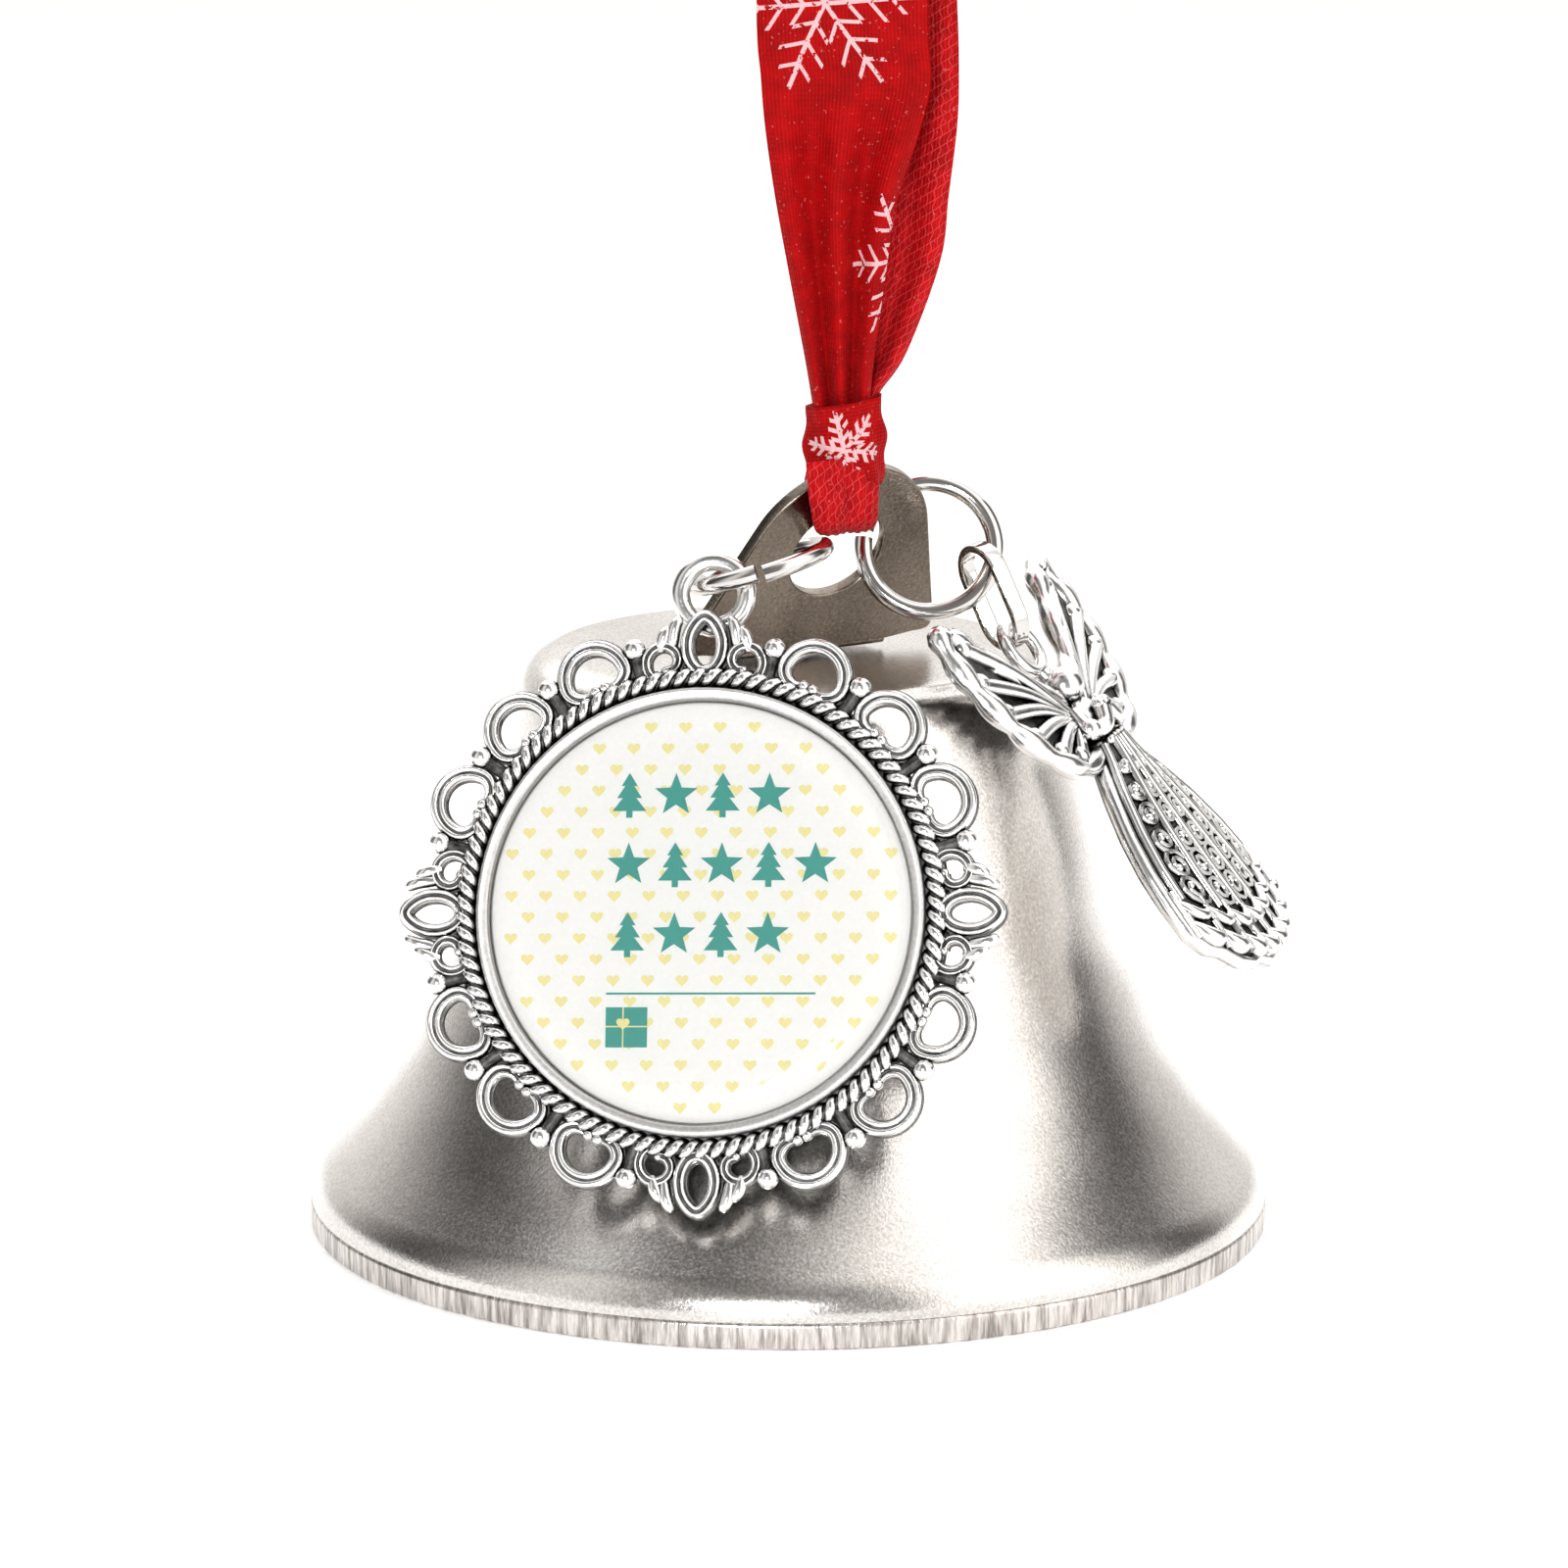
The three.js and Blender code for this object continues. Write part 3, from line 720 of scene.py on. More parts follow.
def outward(degrees, centre_radius):
    """A place on the charm with X along the rim and Y pointing away from the middle."""
    a = math.radians(degrees)
    radial = CHARM.axes[0] * math.cos(a) + CHARM.axes[1] * math.sin(a)
    around = -CHARM.axes[0] * math.sin(a) + CHARM.axes[1] * math.cos(a)
    centre = CHARM.place(polar(centre_radius, degrees))
    return Frame(centre, -around, radial, CHARM.axes[2])


def add_band(build, path, place, width, height, groove, closed=False, scale=None):
    """A cast band: two bright ridges, a dark line in the groove between them and a dark root."""
    path = np.asarray(path, float)
    options = {"closed": closed, "up": UP, "scale": scale}
    sweep(build, path, grooved_section(width, height, groove), place, **options)
    line = path + vec(0, 0, height / 2 - groove + 0.03)
    wire(build, line, 0.07, 6, place, slot=1, closed=closed)
    half = width / 2 + 0.07
    root = np.array([(-half, -height / 2 - 0.1), (-half, -0.1), (half, -0.1), (half, -height / 2 - 0.1)])
    sweep(build, path, root, place, slot=1, **options)


def add_scroll(build, degrees):
    """An open arch that stands on the rope, with both ends curled in to a bead."""
    place = outward(degrees, 15.25)
    t = np.linspace(-1, 1, 41)
    angles = math.pi / 2 - np.radians(158) * t
    reach = 1.84 * (1 - 0.56 * np.clip((np.abs(t) - 0.60) / 0.40, 0, 1) ** 1.5)
    path = np.stack([reach * np.cos(angles), reach * np.sin(angles), 0 * t], 1)
    add_band(build, path, place, 0.88, 0.95, 0.2, scale=1 - 0.42 * np.abs(t) ** 4)
    for end in (path[0], path[-1]):
        ball(build, end + vec(0, 0, 0.15), 0.36, place, 12, 8)


def add_small_scroll(build, degrees, side):
    """A curl beside an oval, with a petal that leans on the oval."""
    place = outward(degrees, 14.95)
    t = np.linspace(0, 1, 26)
    angles = np.radians(-50 + 320 * t)
    reach = 1.20 * (1 - 0.55 * t ** 1.3)
    path = np.stack([side * reach * np.cos(angles), reach * np.sin(angles), 0 * t], 1)
    add_band(build, path, place, 0.58, 0.85, 0.12)
    ball(build, path[-1] + vec(0, 0, 0.1), 0.32, place, 10, 7)
    for shift, tall in ((-0.15, 2.0), (-0.85, 2.5)):
        leaf = np.array([(side * (shift + 0.35), 0.7, 0.0), (side * shift, tall * 0.75, 0.2),
                         (side * (shift - 0.45), tall, 0.1)])
        sweep(build, smooth_curve(leaf, 5), round_section(0.40, 8), place,
              scale=[0.7, 0.85, 0.95, 1, 1, 1, 0.95, 0.9, 0.8, 0.65, 0.45])


def add_point_oval(build, degrees):
    """An open pointed oval at one of the charm's four tips."""
    place = outward(degrees, 15.75)
    angles = np.arange(36) / 36 * TAU
    point = 1 + 0.12 * np.clip(np.sin(angles), 0, 1) ** 6
    path = np.stack([1.05 * np.cos(angles), 1.55 * np.sin(angles) * point, 0 * angles], 1)
    add_band(build, path, place, 0.74, 1.1, 0.12, closed=True)


def add_rope(build):
    turns, steps_per_turn = 50, 14
    count = turns * steps_per_turn
    around = np.arange(count) / count * TAU
    for phase in (0.0, math.pi):
        twist = turns * around + phase
        radius = ROPE_RADIUS + 0.36 * np.cos(twist)
        path = np.stack([radius * np.cos(around), radius * np.sin(around), 0.36 * np.sin(twist) + 0.15], 1)
        wire(build, path, 0.31, 7, CHARM, closed=True)
    core = ring_path(ROPE_RADIUS, turns) + vec(0, 0, 0.1)
    wire(build, core, 0.42, 8, CHARM, closed=True, slot=1)


def build_charm():
    build = Build()
    bezel = [(12.45, -0.4), (12.46, 0.70), (12.52, 0.84), (12.62, 0.90), (12.95, 1.00), (13.08, 0.98),
             (13.16, 0.85), (13.18, 0.4), (13.18, -0.9), (12.45, -0.9)]
    spin(build, bezel, CHARM, slot=2)
    add_rope(build)
    for quarter in range(4):
        axis = quarter * 90
        add_point_oval(build, axis)
        for side in (1, -1):
            add_small_scroll(build, axis - side * 9.0, side)
        for step in (15, 35, 55, 75):
            ball(build, polar(16.05, axis + step) + vec(0, 0, 0.1), 0.66, CHARM, 16, 10)
            neck = [polar(r, axis + step) for r in (14.0, 14.8, 15.7)]
            sweep(build, neck, round_section(0.42, 8), CHARM, slot=1)
        for step in (25, 45, 65):
            add_scroll(build, axis + step)
    bail_centre = CHARM.axes @ (vec(-4.4, -13.0, 41.4) - CHARM.origin)
    bail = bail_centre + ring_path(1.97, 40)
    wire(build, bail, 0.57, 14, CHARM, closed=True)
    ball(build, bail_centre + vec(0, -2.15, 0.4), 0.62, CHARM, 14, 10, (1.2, 0.8, 1.2))
    backing = [(12.9, -0.9), (12.9, -0.15), (14.4, -0.15), (14.6, -0.4), (14.5, -0.8)]
    spin(build, backing, CHARM, 120, 1)
    disc = [(0.01, -0.95), (0.01, -0.42), (12.5, -0.42), (12.9, -0.5), (12.9, -0.95)]
    spin(build, disc, CHARM, 96)
    piece = build.finish("picture_charm_casting", [SILVER, RECESS, BEZEL_SILVER], "picture_charm",
                         ["charm_frame"])
    split_edges(piece, 60)


def flat_shape(build, outline, height, slot):
    """A printed shape: one flat face that lies on the insert."""
    points = [(x, y, height) for x, y in outline]
    build.add(CHARM.place(points), [tuple(range(len(points)))], slot)


def heart(x, y, size):
    outline = []
    for t in np.arange(20) / 20 * TAU:
        across = 16 * math.sin(t) ** 3
        up = 13 * math.cos(t) - 5 * math.cos(2 * t) - 2 * math.cos(3 * t) - math.cos(4 * t)
        outline.append((x - across * size / 32, y + up * size / 32))
    return outline


def star(x, y, size, points=5):
    outline = []
    for i in range(2 * points):
        reach = size if i % 2 == 0 else size * 0.42
        a = math.pi / 2 + i * math.pi / points
        outline.append((x + reach * math.cos(a), y + reach * math.sin(a)))
    return outline


def fir(x, y, size):
    """A small fir tree: three tiers and a trunk."""
    half = ((0, 1.0), (0.36, 0.42), (0.20, 0.42), (0.56, -0.12), (0.30, -0.12), (0.76, -0.70), (0.14, -0.70),
            (0.14, -1.0))
    right = [(x + a * size, y + b * size) for a, b in half]
    left = [(x - a * size, y + b * size) for a, b in half[:0:-1]]
    return right + left


def build_insert():
    build = Build()
    face = 0.15
    card = [(0.01, -0.33), (0.01, face), (INSERT_RADIUS - 0.03, face), (INSERT_RADIUS, face - 0.05),
            (INSERT_RADIUS, -0.33)]
    spin(build, card, CHARM, 128)
    step_across, step_up, print_radius = 2.03, 1.24, 11.75
    for row in range(19):
        for column in range(12):
            x = -11.2 + (row % 2) * 1.01 + column * step_across
            y = -11.4 + row * step_up
            if math.hypot(x, y) < print_radius:
                flat_shape(build, heart(x, y, 0.78), face + 0.012, 1)
    rows = ((6.9, -4.3, (fir, star, fir, star)), (2.8, -4.3, (star, fir, star, fir, star)),
            (-1.3, -4.3, (fir, star, fir, star)))
    for height, start, shapes in rows:
        for i, shape in enumerate(shapes):
            flat_shape(build, shape(start + 2.75 * i, height, 1.32), face + 0.03, 2)
    rule = -4.75
    flat_shape(build, [(-5.5, rule - 0.06), (6.8, rule - 0.06), (6.8, rule + 0.06), (-5.5, rule + 0.06)],
               face + 0.03, 2)
    left, right, low, high = -5.5, -3.05, -7.9, -5.55
    flat_shape(build, [(left, low), (right, low), (right, high), (left, high)], face + 0.03, 2)
    middle, bow, half_line = (left + right) / 2 - 0.2, -6.68, 0.04
    lines = (((middle - half_line, low), (middle + half_line, low), (middle + half_line, high),
              (middle - half_line, high)),
             ((left, bow - half_line), (right, bow - half_line), (right, bow + half_line),
              (left, bow + half_line)))
    for line in lines:
        flat_shape(build, line, face + 0.045, 1)
    flat_shape(build, heart(middle, -6.5, 0.8), face + 0.05, 1)
    build.finish("printed_insert", [CARD, HEART_YELLOW, TEAL], "picture_charm", ["printed_disc"],
                 smooth=False)


def build_cover():
    build = Build()
    dome = [(0.01, 0.25), (0.01, 0.84), (6.0, 0.83), (10.5, 0.79), (11.8, 0.72), (12.3, 0.55),
            (INSERT_RADIUS, 0.35), (INSERT_RADIUS, 0.25)]
    spin(build, dome, CHARM, 128)
    piece = build.finish("resin_dome", [RESIN], "picture_charm", ["clear_cover"])
    split_edges(piece, 60)


# ---------- angel ----------

ANGEL_DOWN = unit((0.6, -0.169, -0.782))
ANGEL_FRONT = unit((0.71, -0.328, 0.613))
ANGEL_RIGHT = unit(np.cross(-ANGEL_DOWN, ANGEL_FRONT))
ANGEL = Frame((14.0, -6.26, 36.82), ANGEL_RIGHT, -ANGEL_DOWN, np.cross(ANGEL_RIGHT, -ANGEL_DOWN))


def add_wing(build, side):
    """An open wing: a heavy scalloped rim and feather ribs over a dark web."""
    rim = smooth_curve([(1.0, -4.2, 0.3), (3.6, -2.0, 0.3), (6.0, 1.0, 0.2), (7.6, 3.0, 0.1), (8.8, 3.3, 0.1),
                        (9.2, 1.0, 0.1), (8.8, -1.6, 0.15), (7.8, -4.2, 0.2), (6.0, -6.6, 0.25),
                        (3.6, -8.0, 0.3), (1.2, -7.6, 0.4)], 6) * vec(side, 1, 1)
    scallop = 0.68 + 0.42 * np.abs(np.sin(np.linspace(0, 9 * math.pi, len(rim))))
    wire(build, rim, 0.72, 10, ANGEL, scale=scallop)
    root = vec(side * 1.0, -5.6, 0.5)
    for tip in ((5.6, 0.2), (7.6, 2.2), (8.6, -0.2), (8.2, -2.6), (7.0, -4.8), (5.2, -6.5), (3.2, -7.4)):
        end = vec(side * tip[0], tip[1], 0.25)
        bow = (root + end) / 2 + vec(0, 0.5, 0.25)
        path = smooth_curve([root, bow, end], 7)
        size = np.linspace(0.75, 1.25, len(path))
        wire(build, path, 0.46, 8, ANGEL, scale=size)
        ball(build, end * vec(0.97, 0.97, 1), 0.75, ANGEL, 12, 8, (1, 1, 0.8))
    web = [(x * 0.97, y) for x, y in rim[::2, :2]][::side]
    plate(build, web, [], 0.5, 0.05, Frame(ANGEL.place((0, 0, 0.05)), *ANGEL.axes), 1)


DRESS_TOP = -7.4
DRESS_LENGTH = 16.4


def dress_half_width(down):
    """Half the dress's width at a distance below its waist."""
    stations = (0.0, 1.5, 4.0, 7.0, 10.0, 13.0, DRESS_LENGTH)
    widths = (1.3, 1.9, 3.4, 4.8, 5.7, 6.1, 6.2)
    return float(np.interp(down, stations, widths))


def dress_point(u, down, lift=0.0):
    """A point on the dress's bowed front. u goes from -1 to 1 across it."""
    half = dress_half_width(down)
    bow = 1.25 * math.sqrt(max(0.0, 1 - (0.95 * u) ** 2))
    drop = down * (1 - 0.22 * u * u)
    return vec(half * u, DRESS_TOP - drop, 0.45 + bow + lift)


def add_dress(build):
    rows, columns = 40, 25
    front, back = [], []
    for i in range(rows):
        for j in range(columns):
            u = -1 + 2 * j / (columns - 1)
            scallop = 0.5 * abs(math.sin(u * 4 * math.pi)) * (i / (rows - 1)) ** 6
            p = dress_point(u, (DRESS_LENGTH - 0.6 + scallop) * i / (rows - 1))
            front.append(p)
            back.append(vec(p[0], p[1], -0.35))
    faces = grid_faces(rows, columns)
    build.add(ANGEL.place(front), [f[::-1] for f in faces], 1)
    build.add(ANGEL.place(back), faces, 0)
    border = grid_border(rows, columns)
    n = len(border)
    wall = [front[i] for i in border] + [back[i] for i in border]
    build.add(ANGEL.place(wall), [(i, (i + 1) % n, n + (i + 1) % n, n + i) for i in range(n)], 0)
    # A rounded edge all the way round, as thick as the casting.
    edge = [(front[i] + back[i]) / 2 + vec(0, 0, 0.1) for i in border[::2]]
    wire(build, edge, 0.56, 10, ANGEL, closed=True)
    for u in (-0.94, -0.5, -0.17, 0.17, 0.5, 0.94):
        ridge = [dress_point(u, d, 0.05) for d in np.linspace(0.2, 12.6, 26)]
        wire(build, ridge, 0.34, 8, ANGEL)
    for u in (-0.72, -0.335, 0.0, 0.335, 0.72):
        for k, down in enumerate((2.2, 3.9, 5.7, 7.6, 9.5, 11.4)):
            add_curl(build, u, down, 1 if k % 2 else -1)


def add_curl(build, u, down, side):
    """A small raised spiral on the dress."""
    reach = 0.16 * dress_half_width(down)
    path = []
    for t in np.linspace(0, 1, 18):
        a = side * (0.5 + 1.6 * TAU * t)
        r = reach * (1 - 0.75 * t)
        half = dress_half_width(down)
        path.append(dress_point(u + r * math.cos(a) / half, down + r * 1.3 * math.sin(a), 0.10))
    wire(build, path, 0.22, 6, ANGEL)
    ball(build, path[-1], 0.30, ANGEL, 8, 6)


def add_flounce(build):
    """The dress's scalloped hem: two rows of rounded folds."""
    for row, (down, size) in enumerate(((12.9, 0.85), (14.9, 1.1))):
        count = 7 + row
        for i in range(count):
            u0, u1 = (-1 + 2 * k / count for k in (i, i + 1))
            path = [dress_point(u0 + (u1 - u0) * t, down + 0.9 * math.sin(math.pi * t), 0.12)
                    for t in np.linspace(0, 1, 9)]
            width = [0.45, 0.75, 0.95, 1.0, 1.05, 1.0, 0.95, 0.75, 0.45]
            wire(build, path, 0.5 * size, 8, ANGEL, scale=width)
            fold = [dress_point(u0, down + d, 0.1) for d in np.linspace(-0.9, 1.2, 6)]
            wire(build, fold, 0.26 * size, 6, ANGEL)


def build_angel():
    build = Build()
    wire(build, ring_path(1.65, 36), 0.42, 12, ANGEL, closed=True)
    ball(build, (0, -3.3, 0.75), 1.22, ANGEL, 24, 16)
    neck = [(0, -1.9, 0.1), (0, -3.0, 0.3), (0, -4.8, 0.5)]
    sweep(build, smooth_curve(neck, 5), round_section(0.62, 10), ANGEL)
    ball(build, (0, -6.0, 0.5), 1.0, ANGEL, 18, 12, (1.65, 1.9, 1.15))
    for side in (1, -1):
        arm = [(side * 1.5, -4.9, 0.8), (side * 1.9, -6.2, 1.2), (side * 1.0, -6.6, 1.8),
               (side * 0.25, -5.7, 2.0)]
        sweep(build, smooth_curve(arm, 6), round_section(0.55, 9), ANGEL)
        ball(build, (side * 1.9, -6.3, 1.25), 0.72, ANGEL, 12, 8)
        ball(build, (side * 0.35, -5.4, 2.0), 0.45, ANGEL, 10, 7)
        add_wing(build, side)
    for x in (-0.9, -0.3, 0.3, 0.9):
        ball(build, (x, -7.5, 1.45), 0.36, ANGEL, 10, 7)
    add_dress(build)
    add_flounce(build)
    piece = build.finish("angel_casting", [SILVER, RECESS], "angel", ["angel_figure"])
    split_edges(piece, 60)


# ---------- ribbon ----------

RIBBON_WIDTH = 10.0
RIBBON_THICKNESS = 0.16
LOOP_TOP = 136.0
FOLD_WAVES = 2.5
FOLD_LIMIT = 0.55


def fold_depth(half_span, waves, length):
    """The depth of the folds that fit a ribbon of that width into a narrower span."""
    u = np.linspace(-1, 1, 81)
    low, high = 0.0, 6.0
    for _ in range(30):
        depth = (low + high) / 2
        y = depth * np.sin(waves * math.pi * u)
        if np.hypot(np.diff(half_span * u), np.diff(y)).sum() > length:
            high = depth
        else:
            low = depth
    return low


# Stations up the two strands: (height, left edge, right edge, depth in y).
FRONT_STRAND = (
    (51.2, 1.6, 4.9, -9.25), (52.6, 1.4, 4.8, -9.3), (55.0, 1.0, 5.0, -9.4), (60.4, 0.0, 5.7, -9.8),
    (64.3, -0.7, 6.3, -10.1), (68.4, -1.3, 7.6, -10.6), (71.5, -1.6, 8.3, -11.0), (75.8, -1.86, 8.1, -11.4),
    (90.0, -1.6, 8.4, -12.0), (110.0, -1.2, 8.8, -12.4), (131.6, -1.1, 8.9, -12.5))
BACK_STRAND = (
    (51.2, 1.8, 5.0, -8.45), (52.6, 1.8, 5.3, -8.3), (55.0, 1.7, 6.9, -8.1), (60.4, 1.7, 8.9, -7.7),
    (64.3, 1.4, 9.4, -7.3), (68.4, 0.9, 9.9, -6.9), (71.5, 0.3, 10.0, -6.5), (75.8, -0.1, 9.9, -6.1),
    (90.0, -0.7, 9.3, -5.2), (110.0, -1.0, 9.0, -4.6), (131.6, -1.1, 8.9, -4.2))


def strand_section(row, columns):
    """The points across a strand at one height: a straight span, or one that is pleated narrower."""
    height, left, right, depth = row
    u = np.linspace(-1, 1, columns)
    half = (right - left) / 2
    wave = fold_depth(half, FOLD_WAVES, RIBBON_WIDTH) if half < RIBBON_WIDTH / 2 - 0.02 else 0.0
    x = (left + right) / 2 + half * u
    y = depth - min(wave, FOLD_LIMIT) * np.cos(FOLD_WAVES * math.pi * u)
    return np.stack([x, y, np.full(columns, height)], 1)


def build_ribbon_loop():
    """Up the front strand, over the hook and down the back strand, as one length of ribbon."""
    columns = 49
    height, left, right, front_y = FRONT_STRAND[-1]
    back_y = BACK_STRAND[-1][3]
    grid = [strand_section(row, columns) for row in smooth_curve(FRONT_STRAND, 8)]
    for a in np.linspace(0, math.pi, 25)[1:-1]:
        x = np.linspace(left, right, columns)
        y = np.full(columns, (front_y + back_y) / 2 - (back_y - front_y) / 2 * math.cos(a))
        z = np.full(columns, height + (LOOP_TOP - height) * math.sin(a))
        grid.append(np.stack([x, y, z], 1))
    grid += [strand_section(row, columns) for row in smooth_curve(BACK_STRAND, 8)[::-1]]
    grid = np.array(grid)
    middle = grid[:, columns // 2]
    walked = np.concatenate([[0], np.cumsum(np.linalg.norm(np.diff(middle, axis=0), axis=1))])
    build = Build()
    add_cloth(build, grid, walked + 1.4)
    piece = build.finish("ribbon_cloth", [RIBBON_FRONT, RIBBON_BACK], None, ["ribbon_loop"])
    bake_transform(piece)


def grid_normals(grid):
    along = np.gradient(grid, axis=0)
    across = np.gradient(grid, axis=1)
    normal = np.cross(across, along)
    return normal / np.maximum(np.linalg.norm(normal, axis=2), 1e-9)[:, :, None]


def add_cloth(build, grid, walked):
    """Gives a grid of points the ribbon's thickness: printed outside, plain weave inside."""
    rows, columns = grid.shape[:2]
    normal = grid_normals(grid) * RIBBON_THICKNESS / 2
    across = np.tile(np.linspace(-RIBBON_WIDTH / 2, RIBBON_WIDTH / 2, columns), (rows, 1))
    uv = np.stack([across, np.tile(np.asarray(walked)[:, None], (1, columns))], 2).reshape(-1, 2)
    faces = grid_faces(rows, columns)
    outer = (grid + normal).reshape(-1, 3)
    inner = (grid - normal).reshape(-1, 3)
    count = len(outer)
    border = grid_border(rows, columns)
    edge = [(a, b, b + count, a + count) for a, b in zip(border, border[1:] + border[:1])]
    build.add(np.concatenate([outer, inner]), [f[::-1] for f in faces] + edge, 0, np.concatenate([uv, uv]))
    # The inside face shares the same points, so that the cloth stays one closed skin.
    start = build.count - 2 * count
    build.faces += [tuple(i + start + count for i in face) for face in faces]
    build.slots += [1] * len(faces)


def build_hitch():
    """The hitch: a pleated band round the strands, and two legs that go round the hanger's bar."""
    build = Build()
    columns = 84
    centre_x, centre_y = 3.3, -8.9
    half_wide, half_deep = 2.40, 1.80
    low, high, floor = 46.9, 52.3, 50.4
    outer = [(low + (high - low) * t, 1.0, t) for t in np.linspace(0, 1, 27)]
    inner = [(high - (high - floor) * t, 0.86, 1.0) for t in np.linspace(0, 1, 8)[1:]]
    points, uv = [], []
    for z, shrink, t in outer + inner:
        swell = shrink * (0.90 + 0.10 * math.sin(math.pi * t) + 0.04 * math.sin(TAU * 2.2 * t))
        for a in np.arange(columns) / columns * TAU:
            pleat = 1 + 0.05 * math.sin(7 * a + 5 * t) * (1 - 0.4 * t)
            points.append((centre_x + half_wide * swell * pleat * math.cos(a),
                           centre_y + half_deep * swell * pleat * math.sin(a), z + 0.35 * math.cos(a)))
            uv.append((z - (low + high) / 2, HITCH_ALONG + (a - 1.5 * math.pi) * 2.3))
    rows = len(outer) + len(inner)
    faces = grid_faces(rows, columns, False, True)
    faces += [tuple((rows - 1) * columns + j for j in range(columns)), tuple(range(columns))[::-1]]
    build.add(points, faces, 0, uv)
    for side in (-1, 1):
        add_leg(build, side)
    piece = build.finish("ribbon_hitch_cloth", [RIBBON_FRONT, RIBBON_BACK], "hitch", ["ribbon_hitch"])


def add_leg(build, side):
    """One gathered leg: down in front of the bar, through the eye and up behind."""
    route = smooth_curve([(3.25, -10.3, 49.0), (3.35, -10.75, 47.3), (3.45, -10.5, 45.9), (3.55, -9.5, 44.9),
                          (3.5, -8.0, 44.5), (3.4, -6.8, 45.3), (3.4, -6.4, 46.9), (3.4, -7.2, 48.8)], 7)
    route = route + ACROSS * (side * np.linspace(1.28, 0.45, len(route)) - 0.10)[:, None]
    angles = np.arange(40) / 40 * TAU
    ripple = 1 + 0.14 * np.sin(11 * angles + side)
    section = np.stack([0.44 * np.sin(angles) * ripple, 1.24 * np.cos(angles)], 1)
    stations = (0, 0.15, 0.35, 0.55, 0.75, 1)
    sizes = (1.0, 1.05, 0.95, 0.72, 0.60, 0.60)
    size = np.interp(np.linspace(0, 1, len(route)), stations, sizes)
    sweep(build, route, section, BELL, up=ACROSS, scale=size, slot=1)


# ---------- hidden pieces: the CAD shapes with rounded edges and a finish ----------

def dress_cad_nodes():
    for name, material in (("crown_rivet", BRIGHT), ("clapper_bracket", NICKEL), ("clapper_link", BRIGHT),
                           ("clapper_ball", BRIGHT)):
        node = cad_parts[name]
        node.data.materials.clear()
        node.data.materials.append(material)
        bevel = node.modifiers.new("edges", "BEVEL")
        bevel.width = 0.00012
        bevel.segments = 2
        bevel.limit_method = "ANGLE"
        bevel.angle_limit = math.radians(50)
        bevel.harden_normals = False
        node.data.polygons.foreach_set("use_smooth", [True] * len(node.data.polygons))
        split_edges(node, 40)


# ---------- floor, light and camera ----------

def build_floor():
    bpy.ops.mesh.primitive_plane_add(size=6.0, location=row_point(0, 0, -0.02))
    floor = bpy.context.object
    floor.name = "floor"
    floor.data.materials.append(floor_white())


def add_light(name, position, aim, size, power):
    data = bpy.data.lights.new(name, "AREA")
    data.shape = "SQUARE"
    data.size = size
    data.energy = power
    light = bpy.data.objects.new(name, data)
    bpy.context.scene.collection.objects.link(light)
    light.location = row_point(*position)
    away = light.location - row_point(*aim)
    light.rotation_euler = away.to_track_quat("Z", "Y").to_euler()


# How bright the studio is in each direction: degrees round from the front (right is positive)
# and level. LOW_WALLS holds up to HIGH_FROM degrees above the horizon, and HIGH_WALLS from
# HIGH_FULL, with an even change from one to the other between them.
LOW_WALLS = (
    (-180, 0.95), (-150, 0.92), (-135, 0.70), (-122, 0.30), (-110, 0.08), (-92, 0.08), (-80, 0.40),
    (-62, 0.95), (-48, 0.80), (-34, 0.28), (0, 0.22), (26, 0.30), (38, 1.70), (52, 2.10), (74, 2.00),
    (88, 1.20), (96, 0.25), (110, 0.06), (120, 0.12), (130, 0.65), (142, 0.85), (160, 0.95), (180, 0.95))
HIGH_WALLS = (
    (-180, 0.75), (-135, 0.55), (-119, 0.20), (-100, 0.06), (-54, 0.10), (-22, 0.10), (-5, 0.30),
    (15, 0.55), (34, 1.10), (65, 1.50), (84, 0.95), (100, 0.25), (115, 0.12), (130, 0.45), (144, 0.75),
    (180, 0.75))
HIGH_FROM = 48
HIGH_FULL = 60
WARM = (1.0, 0.97, 0.94)


def walls(n, turn, levels):
    """The studio's colour at a turn from the front, which goes from 0 to 1 once round."""
    return n.ramp(turn, [(degrees / 360 + 0.5, (*(level * tint for tint in WARM), 1))
                         for degrees, level in levels])


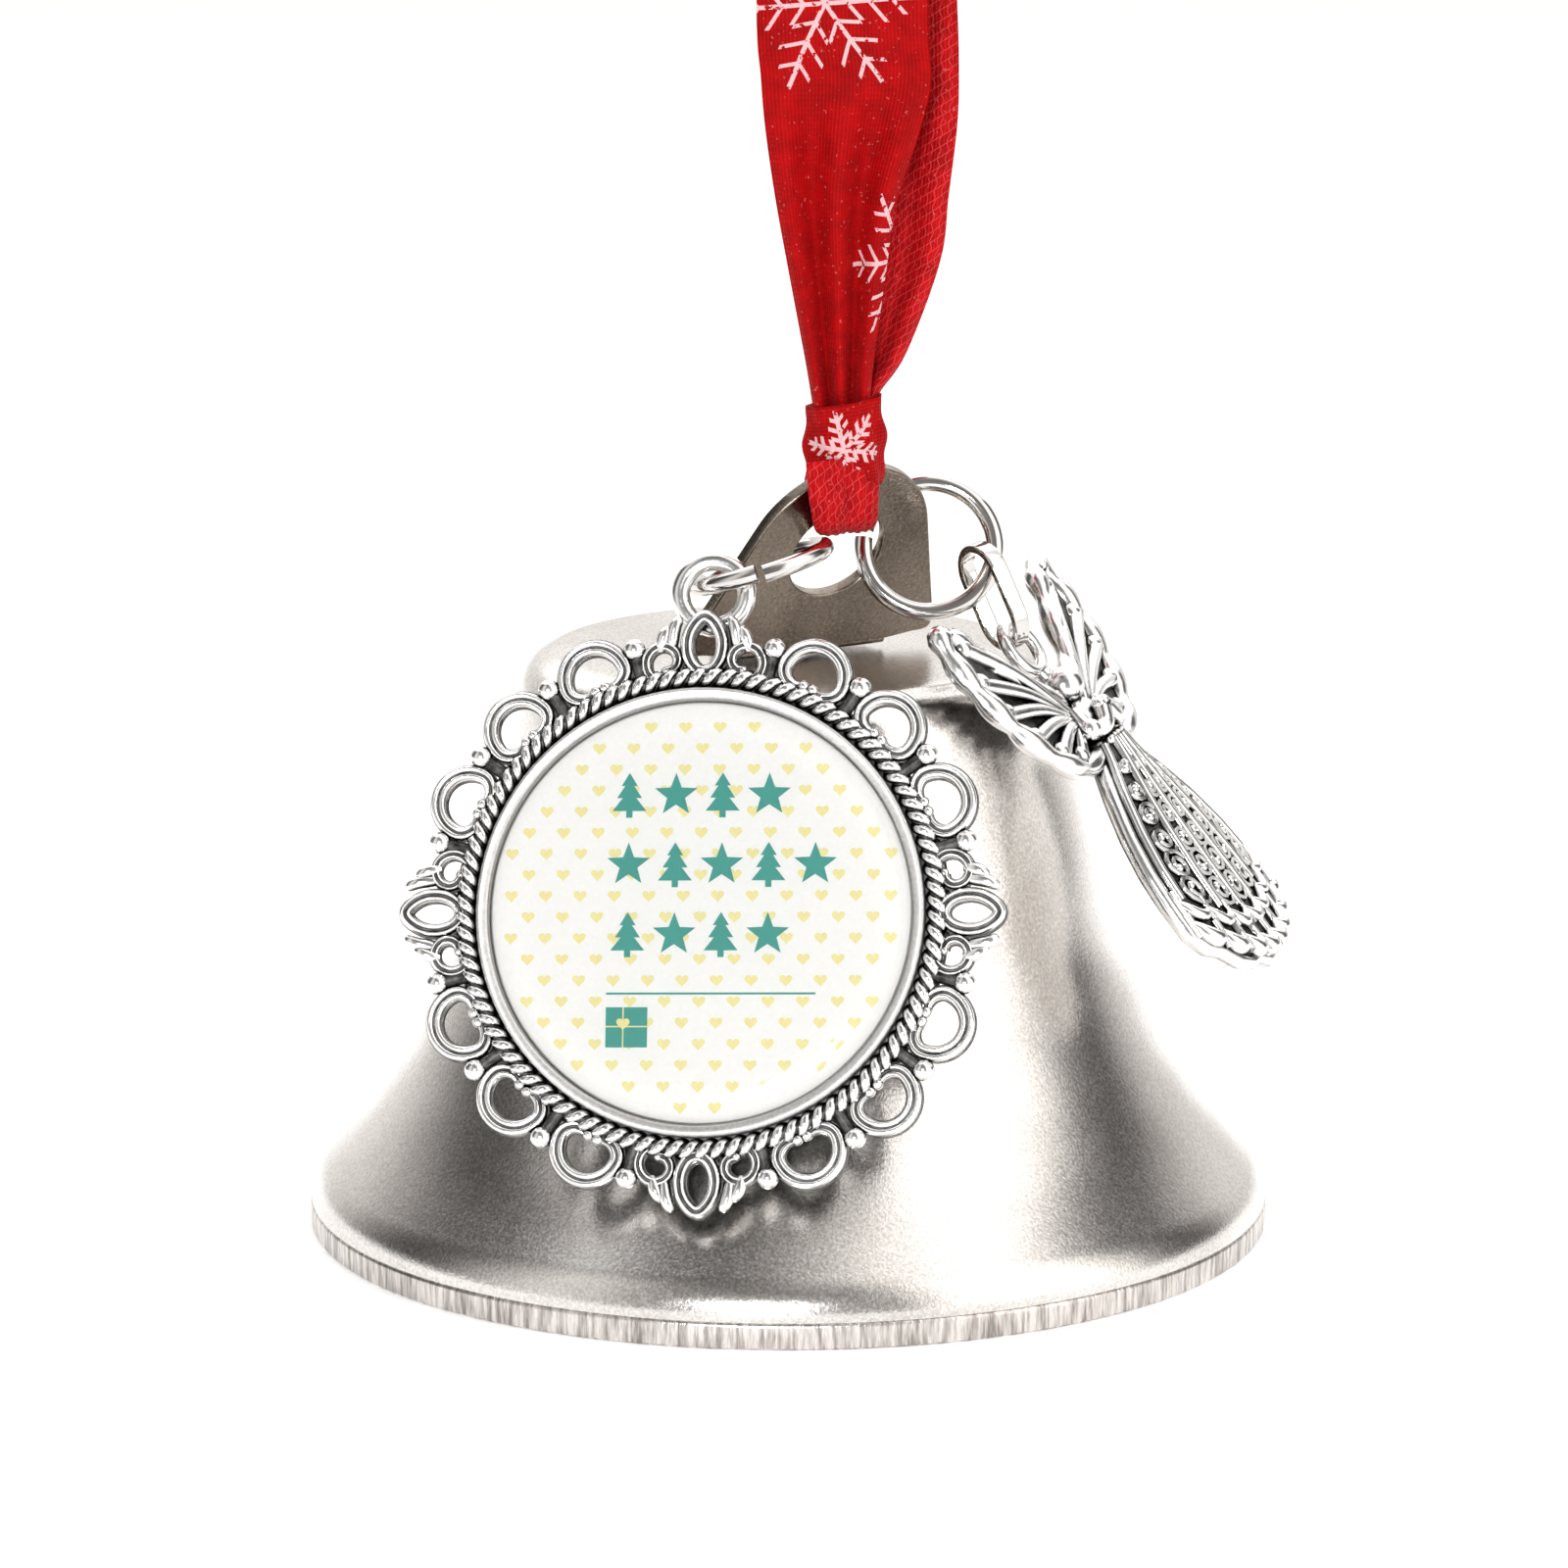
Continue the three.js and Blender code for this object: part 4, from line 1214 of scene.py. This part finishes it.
def build_surround():
    """The studio: bright on the right, dim in front, and dark a little behind each side."""
    world = bpy.data.worlds.new("studio")
    bpy.context.scene.world = world
    world.use_nodes = True
    n = Nodes(world.node_tree)
    direction = n.tree.nodes.new("ShaderNodeTexCoord").outputs["Generated"]
    split = n.tree.nodes.new("ShaderNodeSeparateXYZ")
    n.link(direction, split.inputs[0])
    front = n.math("MULTIPLY", split.outputs["Y"], -1.0)
    turn = n.math("ADD", n.math("DIVIDE", n.math("ARCTAN2", split.outputs["X"], front), TAU), 0.5)
    height = n.tree.nodes.new("ShaderNodeMapRange")
    height.inputs["From Min"].default_value = math.sin(math.radians(HIGH_FROM))
    height.inputs["From Max"].default_value = math.sin(math.radians(HIGH_FULL))
    n.link(split.outputs["Z"], height.inputs["Value"])
    colour = n.mix(height.outputs[0], walls(n, turn, LOW_WALLS), walls(n, turn, HIGH_WALLS))
    n.link(colour, n.tree.nodes["Background"].inputs["Color"])


def build_camera():
    """Looks down 12 degrees at the bell from the front, through a long lens."""
    distance = 420.0
    aim = (-0.27, 0.0, 27.15)
    pitch = math.radians(12.22)
    data = bpy.data.cameras.new("camera")
    data.lens = 157.7
    data.sensor_width = 36.0
    data.clip_end = 50.0
    data.clip_start = 0.01
    camera = bpy.data.objects.new("camera", data)
    bpy.context.scene.collection.objects.link(camera)
    camera.location = row_point(aim[0], -distance * math.cos(pitch), aim[2] + distance * math.sin(pitch))
    camera.rotation_euler = (math.pi / 2 - pitch, 0, 0)
    bpy.context.scene.camera = camera


build_camera()
build_surround()
build_floor()
add_light("top_softbox", (0, 200, 420), (0, 0, 20), 0.80, 1.9)
add_light("front_lamp", (-120, -850, 225), (0, 0, 25), 0.12, 3.9)

build_bell()
build_hanger()
build_ring("left_jump_ring", "charm_ring", "left_ring", (-1.62, -10.31, 42.58), (-0.3, 0.065, 0.952), 270)
build_ring("right_jump_ring", "angel_ring", "right_ring", (8.43, -4.63, 42.7), (0.026, -0.925, 0.379), 170)
build_oval_link()
build_charm()
build_insert()
build_cover()
build_angel()
build_hitch()
build_ribbon_loop()
dress_cad_nodes()

scene = bpy.context.scene
scene.view_settings.view_transform = "Standard"
scene.view_settings.look = "None"
